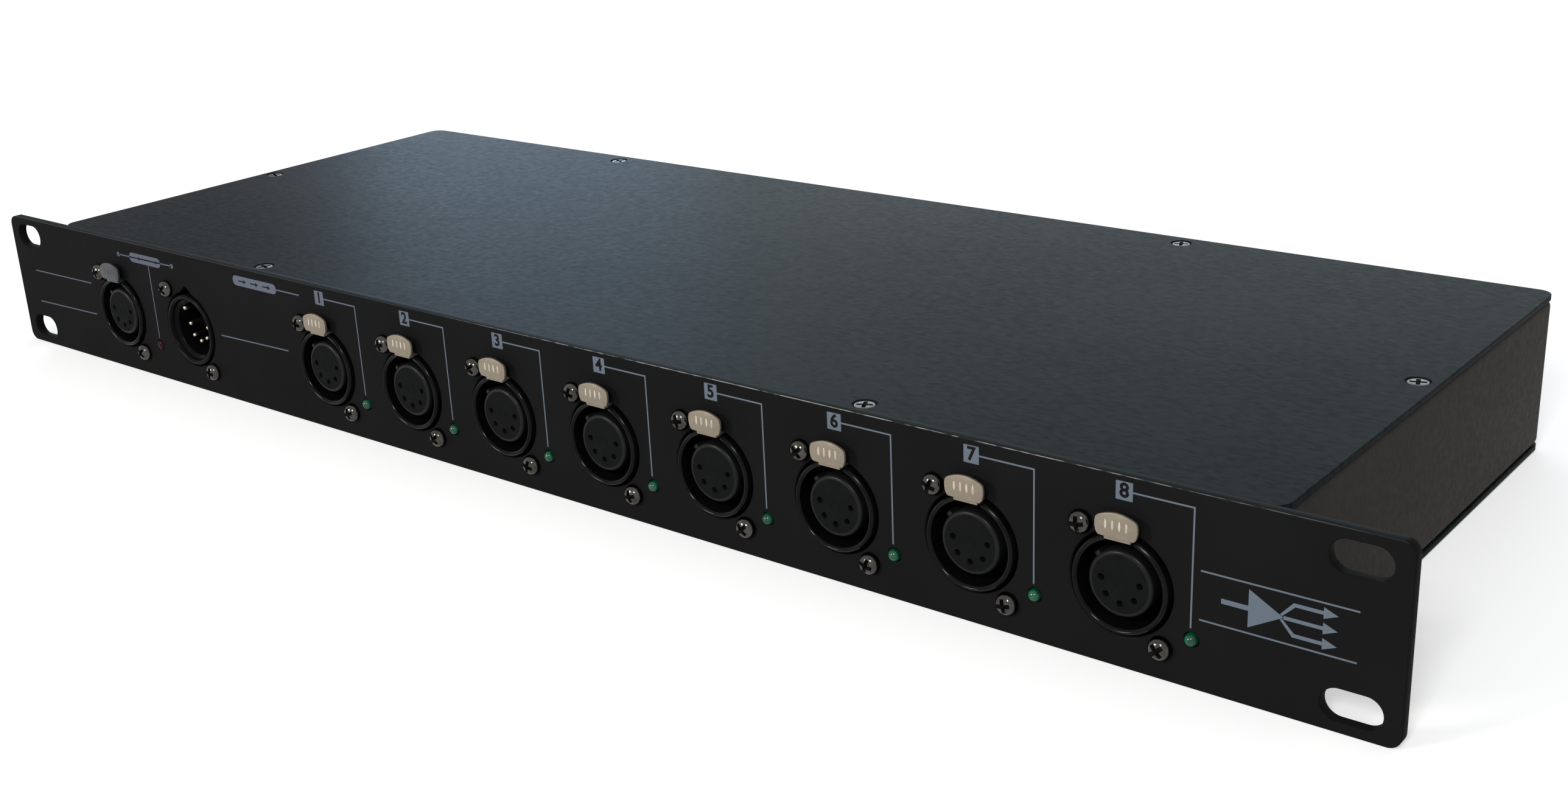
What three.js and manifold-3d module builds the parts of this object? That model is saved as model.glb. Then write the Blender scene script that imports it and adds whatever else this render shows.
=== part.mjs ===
// A one-unit rack splitter for a five-pin lighting data line: one input, a through socket and eight outputs.
// Millimetres, +Z up. The front panel faces -Y and +X is to the right of someone looking at it.
// Every piece is drawn from the middle of the panel's front face. The whole model is then moved so that
// its origin lies under the middle of the unit, on the surface that it stands on.
import * as THREE from "three";
import { mergeVertices } from "three/addons/utils/BufferGeometryUtils.js";
import Module from "manifold-3d";

const wasm = await Module();
wasm.setup();

// Fits: a running gap between two pieces, and how far a cut runs past the face that it opens
const runningGap = 0.3;
const overrun = 1;

// Front panel: a flat plate that fills one rack unit
const panelWidth = 482.6;
const panelHeight = 43.66;
const panelThickness = 3;
const panelCorner = 3;
const panelEdgeRound = 0.5;

// Rack slots, two in each ear, placed from the panel's edges
const slotFromSide = 10.3;
const slotFromTop = 5.955;
const slotLength = 12.8;
const slotWidth = 7.3;

// Chassis frame: four folded walls with flanges that carry the covers. The panel's ears reach out past it.
const earWidth = 27.3;
const chassisDepth = 164;
const chassisCorner = 4;
const frameWall = 1.2;
const frameFlange = 12;
const foldRadius = 1.6;

// Covers, a little lower than the panel's edges, and their screws
const coverThickness = 1.5;
const coverSetback = 0.5;
const coverSeatGap = 0.05;
const coverScrewSpacingShare = 0.5187;
const coverScrewFromFront = 4;
const coverScrewFromRear = 5.5;
const coverScrewFromSide = 4.8;
const coverScrewHeadRadius = 2.55;
const coverScrewHeadHeight = 1.4;
const coverScrewShankRadius = 1.3;
const coverScrewLength = 5;
const coverScrewSunk = 0.2;
const countersinkGap = 0.4;

// Row of connectors: it fills the chassis, so its spaces are counted in pitches of the outputs
const outputCount = 8;
const rowEndShare = 0.9009;
const inputGapShare = 1.8128;
const connectorDropShare = 0.055;

// Connector shell: a barrel through the panel, with a flange behind it that fits inside the frame
const barrelRadius = 11.3;
const barrelGap = 0.7;
const barrelProud = 1.3;
const rimRound = 0.6;
const flangeMargin = 1.7;
const flangeClearance = 0.93;
const flangeCorner = 3;
const flangeThickness = 2;
const flangeSeat = 1.5;
const keyNotchWidth = 6.6;
const keyNotchHeight = 2.1;

// Screws of a connector, in the upper left and lower right corners of its flange
const fixingInset = 3.5;
const fixingRadius = 1.3;
const fixingGap = 0.4;
const fixingHeadRadius = 2.75;
const fixingHeadHeight = 2.4;
const fixingHeadTaper = 0.9;

// Female side: the groove that a plug's shell enters, and the contact insert in the middle of it
const barrelWall = 1.4;
const grooveWidth = 2.3;
const grooveDepth = 14.4;
const insertProud = 0.4;
const insertChamfer = 0.7;
const insertBaseLength = 6;
const insertInset = 2;
const contactHoleRadius = 0.65;
const contactHoleDepth = 9;
const contactCircleRadius = 4.5;
const contactDegrees = [-97, -47, 0, 47, 97];
const keyRibWidth = 1.3;
const keyRibHeight = 0.9;
const keyRibDegrees = 135;

// Male side: a cup with five pins and an earth contact
const cupWall = 2.9;
const cupProud = 1;
const cupDepth = 12;
const pinRadius = 0.7;
const pinTipDepth = 2.6;
const pinTipRound = 0.3;
const earthContactWidth = 2;
const earthContactThickness = 0.8;
const earthContactTipDepth = 2;

// Carrier behind an insert, down to the board
const carrierGap = 0.94;
const carrierThickness = 4;
const carrierTop = 4;

// Latch: a push tab on an arm that ends in a hook
const latchArmWidth = 6.2;
const latchArmThickness = 1;
const latchArmLap = 0.22;
const latchTravel = 1;
const latchHookDepth = 1.5;
const latchHookLength = 2.2;
const tabWidth = 10;
const tabHeight = 5.6;
const tabThickness = 0.85;
const tabStandoff = 1.95;
const latchHousingWall = 1.8;

// Lamps, each between the flanges of two connectors
const lampGapShare = 0.204;
const lampDrop = 8.25;
const lampRadius = 1.5;
const lampHoleGap = 0.15;
const lampProud = 1.4;
const lampRimWidth = 0.25;
const lampRimThickness = 0.8;
const lampLegThickness = 1;
const lampLegWidth = 3;
const lampLegReach = 3;

// Boards: the main board lies under the barrels and fills the frame up to the power board
const boardThickness = 1.6;
const boardGap = 0.6;
const boardSideGap = 8.8;
const pillarRadius = 3;
const pillarInset = 16;
const pillarGap = 0.8;
const chipWidth = 6.4;
const chipLength = 9.6;
const chipHeight = 3.4;
const chipRowShares = [0.125, 0.355];
const converterWidth = 20;
const converterDepth = 10;
const converterHeight = 7.5;
const converterShare = 0.67;

// Power supply, in front of the mains inlet
const powerBoardWidth = 96;
const powerBoardDepth = 42;
const powerBoardFromSide = 26;
const powerBoardGap = 8;
const powerBoardRearGap = 2.2;
const powerPillarInset = 5;
const transformerWidth = 40;
const transformerDepth = 33;
const transformerHeight = 24;
const transformerCoilWidth = 26;
const transformerCoilOverhang = 2.5;
const transformerInset = 6;
const capacitorRadius = 6.5;
const capacitorHeight = 16;
const capacitorSpacing = 16;
const capacitorFromSide = 11;

// Mains inlet with its fuse drawer, in the rear wall
const inletFromSide = 54;
const inletCupWidth = 24;
const inletCupHeight = 16.4;
const inletCupCorner = 4.6;
const inletCupDepth = 15.5;
const inletSideWall = 1.5;
const inletTopWall = 1.9;
const inletMiddleWall = 2;
const inletBottomWall = 1.1;
const inletBodyLength = 20;
const inletFlangeLip = 1.5;
const inletFlangeThickness = 2.5;
const inletFlangeCorner = 2;
const bladeThickness = 2;
const bladeHeight = 4;
const bladeLength = 14;
const bladeSpacing = 14;
const bladeOffset = 2;
const terminalWidth = 6.3;
const terminalThickness = 0.8;
const terminalLength = 8;

// Fuse drawer and the fuse that lies across it
const drawerHeight = 7.4;
const drawerDepth = 15;
const drawerFaceLip = 0.6;
const drawerFaceThickness = 1.5;
const drawerEndWall = 1.4;
const fuseRadius = 2.6;
const fuseFromFace = 5;

// Rocker switch, beside the inlet
const switchFromInlet = 42;
const switchBezelLip = 1.1;
const switchBezelThickness = 1.8;
const switchBezelCorner = 1.5;
const switchBodyWidth = 12.8;
const switchBodyHeight = 18.8;
const switchBodyLength = 14;
const switchWall = 0.9;
const switchTerminalShare = 0.25;
const rockerCentreRise = 1;
const rockerEndRise = 2.5;
const rockerFlank = 1.4;
const rockerFlankTaper = 0.7;
const rockerHub = 3;
const rockerHubHalf = 2;
const rockerPocketDepth = 6;
const rockerTiltDegrees = 10;

// How finely round forms are divided
const barrelSides = 18;
const insertSides = 16;
const screwSides = 8;
const contactSides = 6;

// Widths and heights that several pieces share
const chassisWidth = panelWidth - 2 * earWidth;
const panelHalfHeight = panelHeight / 2;
const coverTop = panelHalfHeight - coverSetback;
const frameTop = coverTop - coverThickness;
const frameFloor = frameWall - frameTop;
const connectorZ = -panelHeight * connectorDropShare;
const holeRadius = barrelRadius + barrelGap;
const grooveRadius = barrelRadius - barrelWall;
const insertRadius = grooveRadius - grooveWidth;
const cupRadius = barrelRadius - cupWall;
const flangeWidth = 2 * (barrelRadius + flangeMargin);
const flangeHeight = 2 * (connectorZ - frameFloor - flangeClearance);
const fixingOffsetX = flangeWidth / 2 - fixingInset;
const fixingOffsetZ = flangeHeight / 2 - fixingInset;
const boardMiddle = (connectorZ - barrelRadius + frameFloor) / 2;
const boardTop = boardMiddle + boardThickness / 2;
const boardBottom = boardTop - boardThickness;
const boardDrop = connectorZ - boardTop;

// Depths that several pieces share
const frameFront = panelThickness;
const frameRear = frameFront + chassisDepth;
const wallBack = frameFront + frameWall;
const flangeBack = wallBack + flangeThickness;
const grooveBottom = grooveDepth - insertProud;
const insertRear = grooveBottom + insertBaseLength;
const barrelRear = insertRear + insertInset;
const carrierRear = barrelRear + runningGap + carrierThickness;
const boardFront = flangeBack + boardGap;
const powerBoardRear = frameRear - inletBodyLength - terminalLength - powerBoardRearGap;
const powerBoardFront = powerBoardRear - powerBoardDepth;
const mainBoardRear = powerBoardFront - powerBoardGap;

// The latch's slot, arm and tab
const latchSlotHalf = latchArmWidth / 2 + runningGap;
const tabBottom = Math.sqrt(barrelRadius ** 2 - latchSlotHalf ** 2) + runningGap;
const latchArmTop = tabBottom + latchArmLap;
const latchArmBottom = latchArmTop - latchArmThickness;
const latchHookRear = grooveBottom - latchTravel - runningGap;
const latchSlotRear = latchHookRear + latchTravel + runningGap;
const tabFront = -tabStandoff - tabThickness;

// Materials, one for each finish
function finish(color, roughness, metalness) {
  return new THREE.MeshStandardMaterial({ color, roughness, metalness, flatShading: true });
}
const powderBlack = finish(0x17191b, 0.55, 0.1);
const coverSlate = finish(0x23282b, 0.5, 0.15);
const shellBlack = finish(0x0d0e0f, 0.25, 0.1);
const insertGrey = finish(0x222426, 0.6, 0);
const latchNickel = finish(0xb8a48c, 0.35, 0.7);
const screwNickel = finish(0x8f8b84, 0.3, 0.9);
const lampGreen = finish(0x0b5a36, 0.2, 0);
const lampRed = finish(0x5e1216, 0.2, 0);
const boardGreen = finish(0x1d5a34, 0.5, 0);
const transformerSteel = finish(0x55524c, 0.6, 0.4);
const inletBlack = finish(0x141414, 0.45, 0);
const glassClear = finish(0xbfc8c8, 0.1, 0);

// A closed geometry as a solid: only its positions count, and triangles without area are dropped.
function solid(geometry) {
  geometry.deleteAttribute("normal");
  geometry.deleteAttribute("uv");
  const merged = mergeVertices(geometry);
  const corners = merged.index.array;
  const kept = [];
  for (let i = 0; i < corners.length; i += 3) {
    const [a, b, c] = corners.slice(i, i + 3);
    if (a !== b && b !== c && c !== a) kept.push(a, b, c);
  }
  const vertProperties = merged.attributes.position.array;
  return new wasm.Manifold(new wasm.Mesh({ numProp: 3, vertProperties, triVerts: new Uint32Array(kept) }));
}

function join(pieces) {
  return pieces.reduce((whole, piece) => whole.add(piece));
}

function cut(blank, cutters) {
  return cutters.reduce((left, cutter) => left.subtract(cutter), blank);
}

// A box given by its lowest and highest corners
function block([x0, y0, z0], [x1, y1, z1]) {
  const geometry = new THREE.BoxGeometry(x1 - x0, y1 - y0, z1 - z0);
  return solid(geometry.translate((x0 + x1) / 2, (y0 + y1) / 2, (z0 + z1) / 2));
}

// A cylinder along Y
function rodY(radius, front, back, sides, x = 0, z = 0) {
  const geometry = new THREE.CylinderGeometry(radius, radius, back - front, sides);
  return solid(geometry.translate(x, (front + back) / 2, z));
}

// A cylinder or cone along Z
function rodZ(bottomRadius, topRadius, bottom, top, sides, x = 0, y = 0) {
  const geometry = new THREE.CylinderGeometry(topRadius, bottomRadius, top - bottom, sides);
  return solid(geometry.rotateX(Math.PI / 2).translate(x, y, (bottom + top) / 2));
}

// A profile of [radius, depth] points turned about Y
function turned(profile, sides) {
  const points = profile.map(([radius, depth]) => new THREE.Vector2(radius, depth));
  return solid(new THREE.LatheGeometry(points, sides));
}

// An outline in X and Z, pushed along Y from front to back
function plateY(outline, front, back, curveSegments = 2) {
  const depth = back - front;
  const geometry = new THREE.ExtrudeGeometry(outline, { depth, bevelEnabled: false, curveSegments });
  return solid(geometry.rotateX(Math.PI / 2).translate(0, back, 0));
}

// An outline in X and Y, pushed up along Z, with its top and bottom edges rounded by edge
function sheetZ(outline, bottom, top, edge = 0, curveSegments = 2) {
  const geometry = new THREE.ExtrudeGeometry(outline, {
    depth: top - bottom - 2 * edge,
    bevelEnabled: edge > 0,
    bevelThickness: edge,
    bevelSize: edge,
    bevelOffset: -edge,
    bevelSegments: 2,
    curveSegments,
  });
  return solid(geometry.translate(0, 0, bottom + edge));
}

// An outline in Y and Z, pushed along X
function profileX(outline, width, x = 0) {
  const geometry = new THREE.ExtrudeGeometry(outline, { depth: width, bevelEnabled: false });
  const turn = new THREE.Matrix4().makeBasis(
    new THREE.Vector3(0, 1, 0),
    new THREE.Vector3(0, 0, 1),
    new THREE.Vector3(1, 0, 0),
  );
  return solid(geometry.applyMatrix4(turn).translate(x - width / 2, 0, 0));
}

function roundedRectangle(width, height, radius, x = 0, y = 0) {
  const shape = new THREE.Shape();
  const right = x + width / 2 - radius;
  const left = x - width / 2 + radius;
  const upper = y + height / 2 - radius;
  const lower = y - height / 2 + radius;
  shape.absarc(right, upper, radius, 0, Math.PI / 2, false);
  shape.absarc(left, upper, radius, Math.PI / 2, Math.PI, false);
  shape.absarc(left, lower, radius, Math.PI, Math.PI * 1.5, false);
  shape.absarc(right, lower, radius, Math.PI * 1.5, Math.PI * 2, false);
  return shape;
}

function polygon(points) {
  return new THREE.Shape(points.map(([x, y]) => new THREE.Vector2(x, y)));
}

// A named mesh of a solid, placed at x and z on the panel
function piece(name, made, material, x = 0, z = 0) {
  const { vertProperties, triVerts } = made.getMesh();
  const geometry = new THREE.BufferGeometry();
  geometry.setAttribute("position", new THREE.BufferAttribute(vertProperties, 3));
  geometry.setIndex(new THREE.BufferAttribute(triVerts, 1));
  const mesh = new THREE.Mesh(geometry, material);
  mesh.name = name;
  mesh.position.set(x, 0, z);
  return mesh;
}

// Places along the panel: the through socket, the input one pitch after it, a gap, and the outputs
const connectorPitch = chassisWidth / (2 * rowEndShare + inputGapShare + outputCount);
const throughX = connectorPitch * rowEndShare - chassisWidth / 2;
const inputX = throughX + connectorPitch;
const firstOutputX = inputX + connectorPitch * inputGapShare;
const outputs = Array.from({ length: outputCount }, (_, index) => firstOutputX + connectorPitch * index);
const connectorXs = [throughX, inputX, ...outputs];

// A lamp stands in the gap between two flanges, a little nearer to its own connector
const lampZ = connectorZ - lampDrop;
const lampRimRadius = lampRadius + lampRimWidth;
const lampRoom = connectorPitch - flangeWidth - 2 * lampRimRadius;
const lampOffsetX = flangeWidth / 2 + lampRimRadius + lampRoom * lampGapShare;
const powerLampX = (throughX + inputX) / 2;
const lampXs = [powerLampX, ...outputs.map((x) => x + lampOffsetX)];

// The round hole for a connector's barrel, with a notch at the top that keys the connector
function connectorOutline(x) {
  const notchAngle = Math.asin(keyNotchWidth / 2 / holeRadius);
  const shape = new THREE.Shape();
  shape.absarc(x, connectorZ, holeRadius, Math.PI / 2 + notchAngle, Math.PI * 2.5 - notchAngle, false);
  shape.lineTo(x, connectorZ + holeRadius + keyNotchHeight);
  return shape;
}

// A small round hole for each lamp
function lampHoles(front, back) {
  return lampXs.map((x) => rodY(lampRadius + lampHoleGap, front, back, contactSides, x, lampZ));
}

// Everything that passes through the panel behind the row of connectors
function panelOpenings(front, back) {
  const cutters = connectorXs.map((x) => plateY(connectorOutline(x), front, back, barrelSides / 2));
  for (const x of connectorXs) {
    for (const side of [-1, 1]) {
      const screwX = x + side * fixingOffsetX;
      const screwZ = connectorZ - side * fixingOffsetZ;
      cutters.push(rodY(fixingRadius + fixingGap, front, back, contactSides, screwX, screwZ));
    }
  }
  return [...cutters, ...lampHoles(front, back)];
}

// The frame's front wall has a window behind each connector, a little smaller than the flange
function frameWindows(front, back) {
  const halfX = flangeWidth / 2 - flangeSeat;
  const halfZ = Math.max(flangeHeight / 2 - flangeSeat, holeRadius);
  const windows = connectorXs.map((x) =>
    block([x - halfX, front, connectorZ - halfZ], [x + halfX, back, connectorZ + halfZ]),
  );
  return [...windows, ...lampHoles(front, back)];
}

function frontPanel() {
  const outline = roundedRectangle(panelWidth, panelHeight, panelCorner);
  const blank = new THREE.ExtrudeGeometry(outline, {
    depth: panelThickness - 2 * panelEdgeRound,
    bevelThickness: panelEdgeRound,
    bevelSize: panelEdgeRound,
    bevelOffset: -panelEdgeRound,
    bevelSegments: 1,
    curveSegments: 2,
  });
  const plate = solid(blank.rotateX(Math.PI / 2).translate(0, panelThickness - panelEdgeRound, 0));
  const slots = [];
  for (const sideX of [-1, 1]) {
    for (const sideZ of [-1, 1]) {
      const x = sideX * (panelWidth / 2 - slotFromSide);
      const z = sideZ * (panelHalfHeight - slotFromTop);
      const slot = roundedRectangle(slotLength, slotWidth, slotWidth / 2, x, z);
      slots.push(plateY(slot, -overrun, panelThickness + overrun));
    }
  }
  const openings = panelOpenings(-overrun, panelThickness + overrun);
  return cut(plate, [...slots, ...openings]);
}

// Where the cover screws stand, on the flanges of the frame
const coverScrewX = (chassisWidth * coverScrewSpacingShare) / 2;
const coverScrewPlaces = [
  ...[-1, 1].map((side) => [side * coverScrewX, frameFront + coverScrewFromFront]),
  ...[-1, 1].map((side) => [side * coverScrewX, frameRear - coverScrewFromRear]),
  ...[-1, 1].map((side) => [side * (chassisWidth / 2 - coverScrewFromSide), frameFront + chassisDepth / 2]),
];

function chassisPlan(inset, corner) {
  const middle = frameFront + chassisDepth / 2;
  return roundedRectangle(chassisWidth - 2 * inset, chassisDepth - 2 * inset, corner, 0, middle);
}

// The mains inlet and the switch stand beside each other in the rear wall
const inletX = chassisWidth / 2 - inletFromSide;
const inletBodyWidth = inletCupWidth + 2 * inletSideWall;
const inletPocketHeight = drawerHeight + 2 * runningGap;
const inletWalls = inletTopWall + inletMiddleWall + inletBottomWall;
const inletBodyHeight = inletWalls + inletCupHeight + inletPocketHeight;
const inletCupRise = inletBodyHeight / 2 - inletTopWall - inletCupHeight / 2;
const drawerDrop = inletBodyHeight / 2 - inletBottomWall - inletPocketHeight / 2;
const drawerWidth = inletCupWidth - 2 * runningGap;
const switchX = inletX - switchFromInlet;

function chassisFrame() {
  const outside = sheetZ(chassisPlan(0, chassisCorner), -frameTop, frameTop, foldRadius);
  const insideCorner = chassisCorner - frameWall;
  const inside = sheetZ(chassisPlan(frameWall, insideCorner), frameFloor, -frameFloor);
  const window = sheetZ(chassisPlan(frameFlange, chassisCorner), -frameTop - overrun, frameTop + overrun);
  const screwHoles = coverScrewPlaces.map(([x, y]) => {
    const radius = coverScrewShankRadius + runningGap;
    return rodZ(radius, radius, -frameTop - overrun, frameTop + overrun, contactSides, x, y);
  });
  const rearFrom = frameRear - frameWall - overrun;
  const rearTo = frameRear + overrun;
  const inletHole = block(
    [inletX - inletBodyWidth / 2 - runningGap, rearFrom, -inletBodyHeight / 2 - runningGap],
    [inletX + inletBodyWidth / 2 + runningGap, rearTo, inletBodyHeight / 2 + runningGap],
  );
  const switchHole = block(
    [switchX - switchBodyWidth / 2 - runningGap, rearFrom, -switchBodyHeight / 2 - runningGap],
    [switchX + switchBodyWidth / 2 + runningGap, rearTo, switchBodyHeight / 2 + runningGap],
  );
  const openings = frameWindows(frameFront - overrun, wallBack + overrun);
  return cut(outside, [inside, window, ...screwHoles, inletHole, switchHole, ...openings]);
}

function coverPlan() {
  const front = frameFront + runningGap;
  return roundedRectangle(chassisWidth, frameRear - front, chassisCorner, 0, (front + frameRear) / 2);
}

function topCover() {
  const sheet = sheetZ(coverPlan(), frameTop + coverSeatGap, coverTop);
  const holes = coverScrewPlaces.map(([x, y]) => {
    const shank = coverScrewShankRadius + runningGap;
    const top = coverScrewHeadRadius + countersinkGap;
    const sinkBottom = coverTop - coverScrewHeadHeight;
    const hole = rodZ(shank, shank, frameTop - overrun, coverTop + overrun, screwSides, x, y);
    return hole.add(rodZ(shank, top, sinkBottom, coverTop, screwSides, x, y));
  });
  return cut(sheet, holes);
}

// A countersunk screw along Z, with its head at the top
function coverScrew() {
  const top = coverTop - coverScrewSunk;
  const neck = top - coverScrewHeadHeight + countersinkGap;
  const shankRadius = coverScrewShankRadius;
  const head = rodZ(shankRadius, coverScrewHeadRadius, neck, top, screwSides);
  return head.add(rodZ(shankRadius, shankRadius, top - coverScrewLength, neck, screwSides));
}

// Corners of a rectangle of pillars, given by its middle and half sizes
function pillarPlaces(x, y, halfX, halfY) {
  return [-1, 1].flatMap((sideX) => [-1, 1].map((sideY) => [x + sideX * halfX, y + sideY * halfY]));
}

const mainBoardHalf = chassisWidth / 2 - frameWall - boardSideGap;
const mainBoardMiddle = (boardFront + mainBoardRear) / 2;
const powerBoardX = chassisWidth / 2 - powerBoardFromSide - powerBoardWidth / 2;
const powerBoardMiddle = (powerBoardFront + powerBoardRear) / 2;

function bottomCover() {
  const sheet = sheetZ(coverPlan(), -coverTop, -frameTop - coverSeatGap);
  const mainHalfX = mainBoardHalf - pillarInset;
  const frontRow = frameFront + frameFlange + pillarGap + pillarRadius;
  const mainHalfY = mainBoardMiddle - frontRow;
  const powerHalfX = powerBoardWidth / 2 - powerPillarInset;
  const powerHalfY = powerBoardDepth / 2 - powerPillarInset;
  const places = [
    ...pillarPlaces(0, mainBoardMiddle, mainHalfX, mainHalfY),
    ...[-1, 1].map((side) => [0, mainBoardMiddle + side * mainHalfY]),
    ...pillarPlaces(powerBoardX, powerBoardMiddle, powerHalfX, powerHalfY),
  ];
  const pillars = places.map(([x, y]) =>
    rodZ(pillarRadius, pillarRadius, -coverTop, boardBottom, contactSides, x, y),
  );
  const shanks = coverScrewPlaces.map(([x, y]) => {
    const radius = coverScrewShankRadius;
    return rodZ(radius, radius, -coverTop, frameFloor, contactSides, x, y);
  });
  return join([sheet, ...pillars, ...shanks]);
}

// A pan head screw along Y, with its head in front of the panel and its shank in the connector's flange
function fixingScrew(x, z) {
  const head = turned(
    [
      [0, -fixingHeadHeight],
      [fixingHeadRadius - fixingHeadTaper, -fixingHeadHeight],
      [fixingHeadRadius, 0],
      [0, 0],
    ],
    screwSides,
  ).translate([x, 0, z]);
  return head.add(rodY(fixingRadius, -fixingHeadHeight / 2, flangeBack, contactSides, x, z));
}

// The barrel before it is bored, with its front edge rounded
function barrelBlank(proud) {
  return turned(
    [
      [0, -proud],
      [barrelRadius - rimRound, -proud],
      [barrelRadius, rimRound - proud],
      [barrelRadius, barrelRear],
      [0, barrelRear],
    ],
    barrelSides,
  );
}

// The bore, which opens out a little at the front rim
function boring(proud, bore) {
  const flare = Math.min(rimRound, (barrelRadius - bore) / 2);
  return turned(
    [
      [0, -proud - overrun],
      [bore + flare + overrun, -proud - overrun],
      [bore, flare - proud],
      [bore, barrelRear + overrun],
      [0, barrelRear + overrun],
    ],
    barrelSides,
  );
}

// A connector's shell: barrel, flange, a foot on the board and two screws, with extra parts and cuts
function connectorShell(proud, bore, extras, cuts) {
  const flange = plateY(roundedRectangle(flangeWidth, flangeHeight, flangeCorner), wallBack, flangeBack, 1);
  const footHalf = barrelRadius / 2;
  const foot = block([-footHalf, wallBack, -boardDrop], [footHalf, barrelRear - latchHousingWall, 0]);
  const body = cut(join([barrelBlank(proud), flange, foot, ...extras]), [boring(proud, bore), ...cuts]);
  const screws = [-1, 1].map((side) => fixingScrew(side * fixingOffsetX, -side * fixingOffsetZ));
  return join([body, ...screws]);
}

// Female shell: it also has a housing on top in which the latch slides
function femaleShell() {
  const housingHalf = latchSlotHalf + latchHousingWall;
  const slotTop = latchArmTop + runningGap;
  const housing = block(
    [-housingHalf, wallBack, 0],
    [housingHalf, latchSlotRear + latchHousingWall, slotTop + latchHousingWall],
  );
  const slot = block(
    [-latchSlotHalf, -barrelProud - overrun, insertRadius],
    [latchSlotHalf, latchSlotRear, slotTop],
  );
  return connectorShell(barrelProud, grooveRadius, [housing], [slot]);
}

const maleShell = () => connectorShell(cupProud, cupRadius, [], []);

// Where the contacts lie, seen from the front: hand is 1 for sockets and -1 for pins
function contactPlaces(hand) {
  return contactDegrees.map((degrees) => {
    const angle = THREE.MathUtils.degToRad(degrees);
    return [hand * contactCircleRadius * Math.sin(angle), -contactCircleRadius * Math.cos(angle)];
  });
}

// The carrier: it comes out of the back of an insert and takes its five tails down to the board
function carrier() {
  const half = Math.sqrt((cupRadius - carrierGap) ** 2 - carrierTop ** 2);
  const front = carrierRear - carrierThickness;
  const side = polygon([
    [insertRear - overrun, carrierTop],
    [insertRear - overrun, -carrierTop],
    [front, -carrierTop],
    [front, -boardDrop],
    [carrierRear, -boardDrop],
    [carrierRear, carrierTop],
  ]);
  return profileX(side, 2 * half);
}

function femaleInsert() {
  const baseRadius = grooveRadius - runningGap;
  const post = turned(
    [
      [0, -insertProud],
      [insertRadius - insertChamfer, -insertProud],
      [insertRadius, insertChamfer - insertProud],
      [insertRadius, grooveBottom],
      [baseRadius, grooveBottom],
      [baseRadius, insertRear],
      [0, insertRear],
    ],
    insertSides,
  );
  const ribHeight = insertRadius + keyRibHeight;
  const rib = block([-keyRibWidth / 2, 0, 0], [keyRibWidth / 2, grooveBottom, ribHeight]).rotate([
    0,
    90 - keyRibDegrees,
    0,
  ]);
  const holes = contactPlaces(1).map(([x, z]) =>
    rodY(contactHoleRadius, -insertProud - overrun, contactHoleDepth, contactSides, x, z),
  );
  return join([cut(post.add(rib), holes), carrier()]);
}

function maleInsert() {
  const baseRadius = cupRadius - runningGap;
  const base = rodY(baseRadius, cupDepth, insertRear, insertSides);
  const pins = contactPlaces(-1).map(([x, z]) =>
    turned(
      [
        [0, pinTipDepth],
        [pinRadius - pinTipRound, pinTipDepth],
        [pinRadius, pinTipDepth + pinTipRound],
        [pinRadius, cupDepth + overrun],
        [0, cupDepth + overrun],
      ],
      contactSides,
    ).translate([x, 0, z]),
  );
  const contactTop = baseRadius - runningGap;
  const earth = block(
    [-earthContactWidth / 2, earthContactTipDepth, contactTop - earthContactThickness],
    [earthContactWidth / 2, cupDepth + overrun, contactTop],
  ).rotate([0, 90 - keyRibDegrees, 0]);
  return join([base, ...pins, earth, carrier()]);
}

// The tab's outline: a bowed top, nearly straight sides and corners drawn in at the bottom
function tabOutline() {
  const half = tabWidth / 2;
  const top = tabBottom + tabHeight;
  const shoulder = tabBottom + tabHeight * 0.78;
  const hip = tabBottom + tabHeight * 0.3;
  const shape = new THREE.Shape();
  shape.moveTo(-half * 0.78, tabBottom);
  shape.lineTo(half * 0.78, tabBottom);
  shape.quadraticCurveTo(half * 0.96, tabBottom + tabHeight * 0.1, half, hip);
  shape.quadraticCurveTo(half * 1.02, shoulder, half * 0.86, tabBottom + tabHeight * 0.86);
  shape.quadraticCurveTo(0, top + tabHeight * 0.14, -half * 0.86, tabBottom + tabHeight * 0.86);
  shape.quadraticCurveTo(-half * 1.02, shoulder, -half, hip);
  shape.quadraticCurveTo(-half * 0.96, tabBottom + tabHeight * 0.1, -half * 0.78, tabBottom);
  return shape;
}

function latch() {
  const tab = plateY(tabOutline(), tabFront, -tabStandoff);
  const arm = block(
    [-latchArmWidth / 2, tabFront, latchArmBottom],
    [latchArmWidth / 2, latchHookRear, latchArmTop],
  );
  const hook = profileX(
    polygon([
      [latchHookRear - 2 * latchHookLength, latchArmTop],
      [latchHookRear - 2 * latchHookLength, latchArmBottom],
      [latchHookRear - latchHookLength / 2, latchArmBottom - latchHookDepth],
      [latchHookRear, latchArmBottom - latchHookDepth],
      [latchHookRear, latchArmTop],
    ]),
    latchArmWidth / 2,
  );
  return join([tab, arm, hook]);
}

// A lamp: a dome in front, a rim behind the frame's wall, and a holder's leg bent down to the board
function lamp() {
  const rimFront = wallBack + runningGap;
  const rimBack = rimFront + lampRimThickness;
  const body = turned(
    [
      [0, -lampProud],
      [lampRadius * Math.sin(Math.PI / 4), lampRadius * (1 - Math.cos(Math.PI / 4)) - lampProud],
      [lampRadius, lampRadius - lampProud],
      [lampRadius, rimFront],
      [lampRimRadius, rimFront],
      [lampRimRadius, rimBack],
      [0, rimBack],
    ],
    contactSides,
  );
  const down = boardDrop - lampDrop;
  const rear = rimBack + lampLegReach;
  const leg = polygon([
    [rimBack - lampRimThickness / 2, lampLegThickness / 2],
    [rimBack - lampRimThickness / 2, -lampLegThickness / 2],
    [rear - lampLegThickness, -lampLegThickness / 2],
    [rear - lampLegThickness, -down],
    [rear, -down],
    [rear, lampLegThickness / 2],
  ]);
  return body.add(profileX(leg, lampLegWidth));
}

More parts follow.
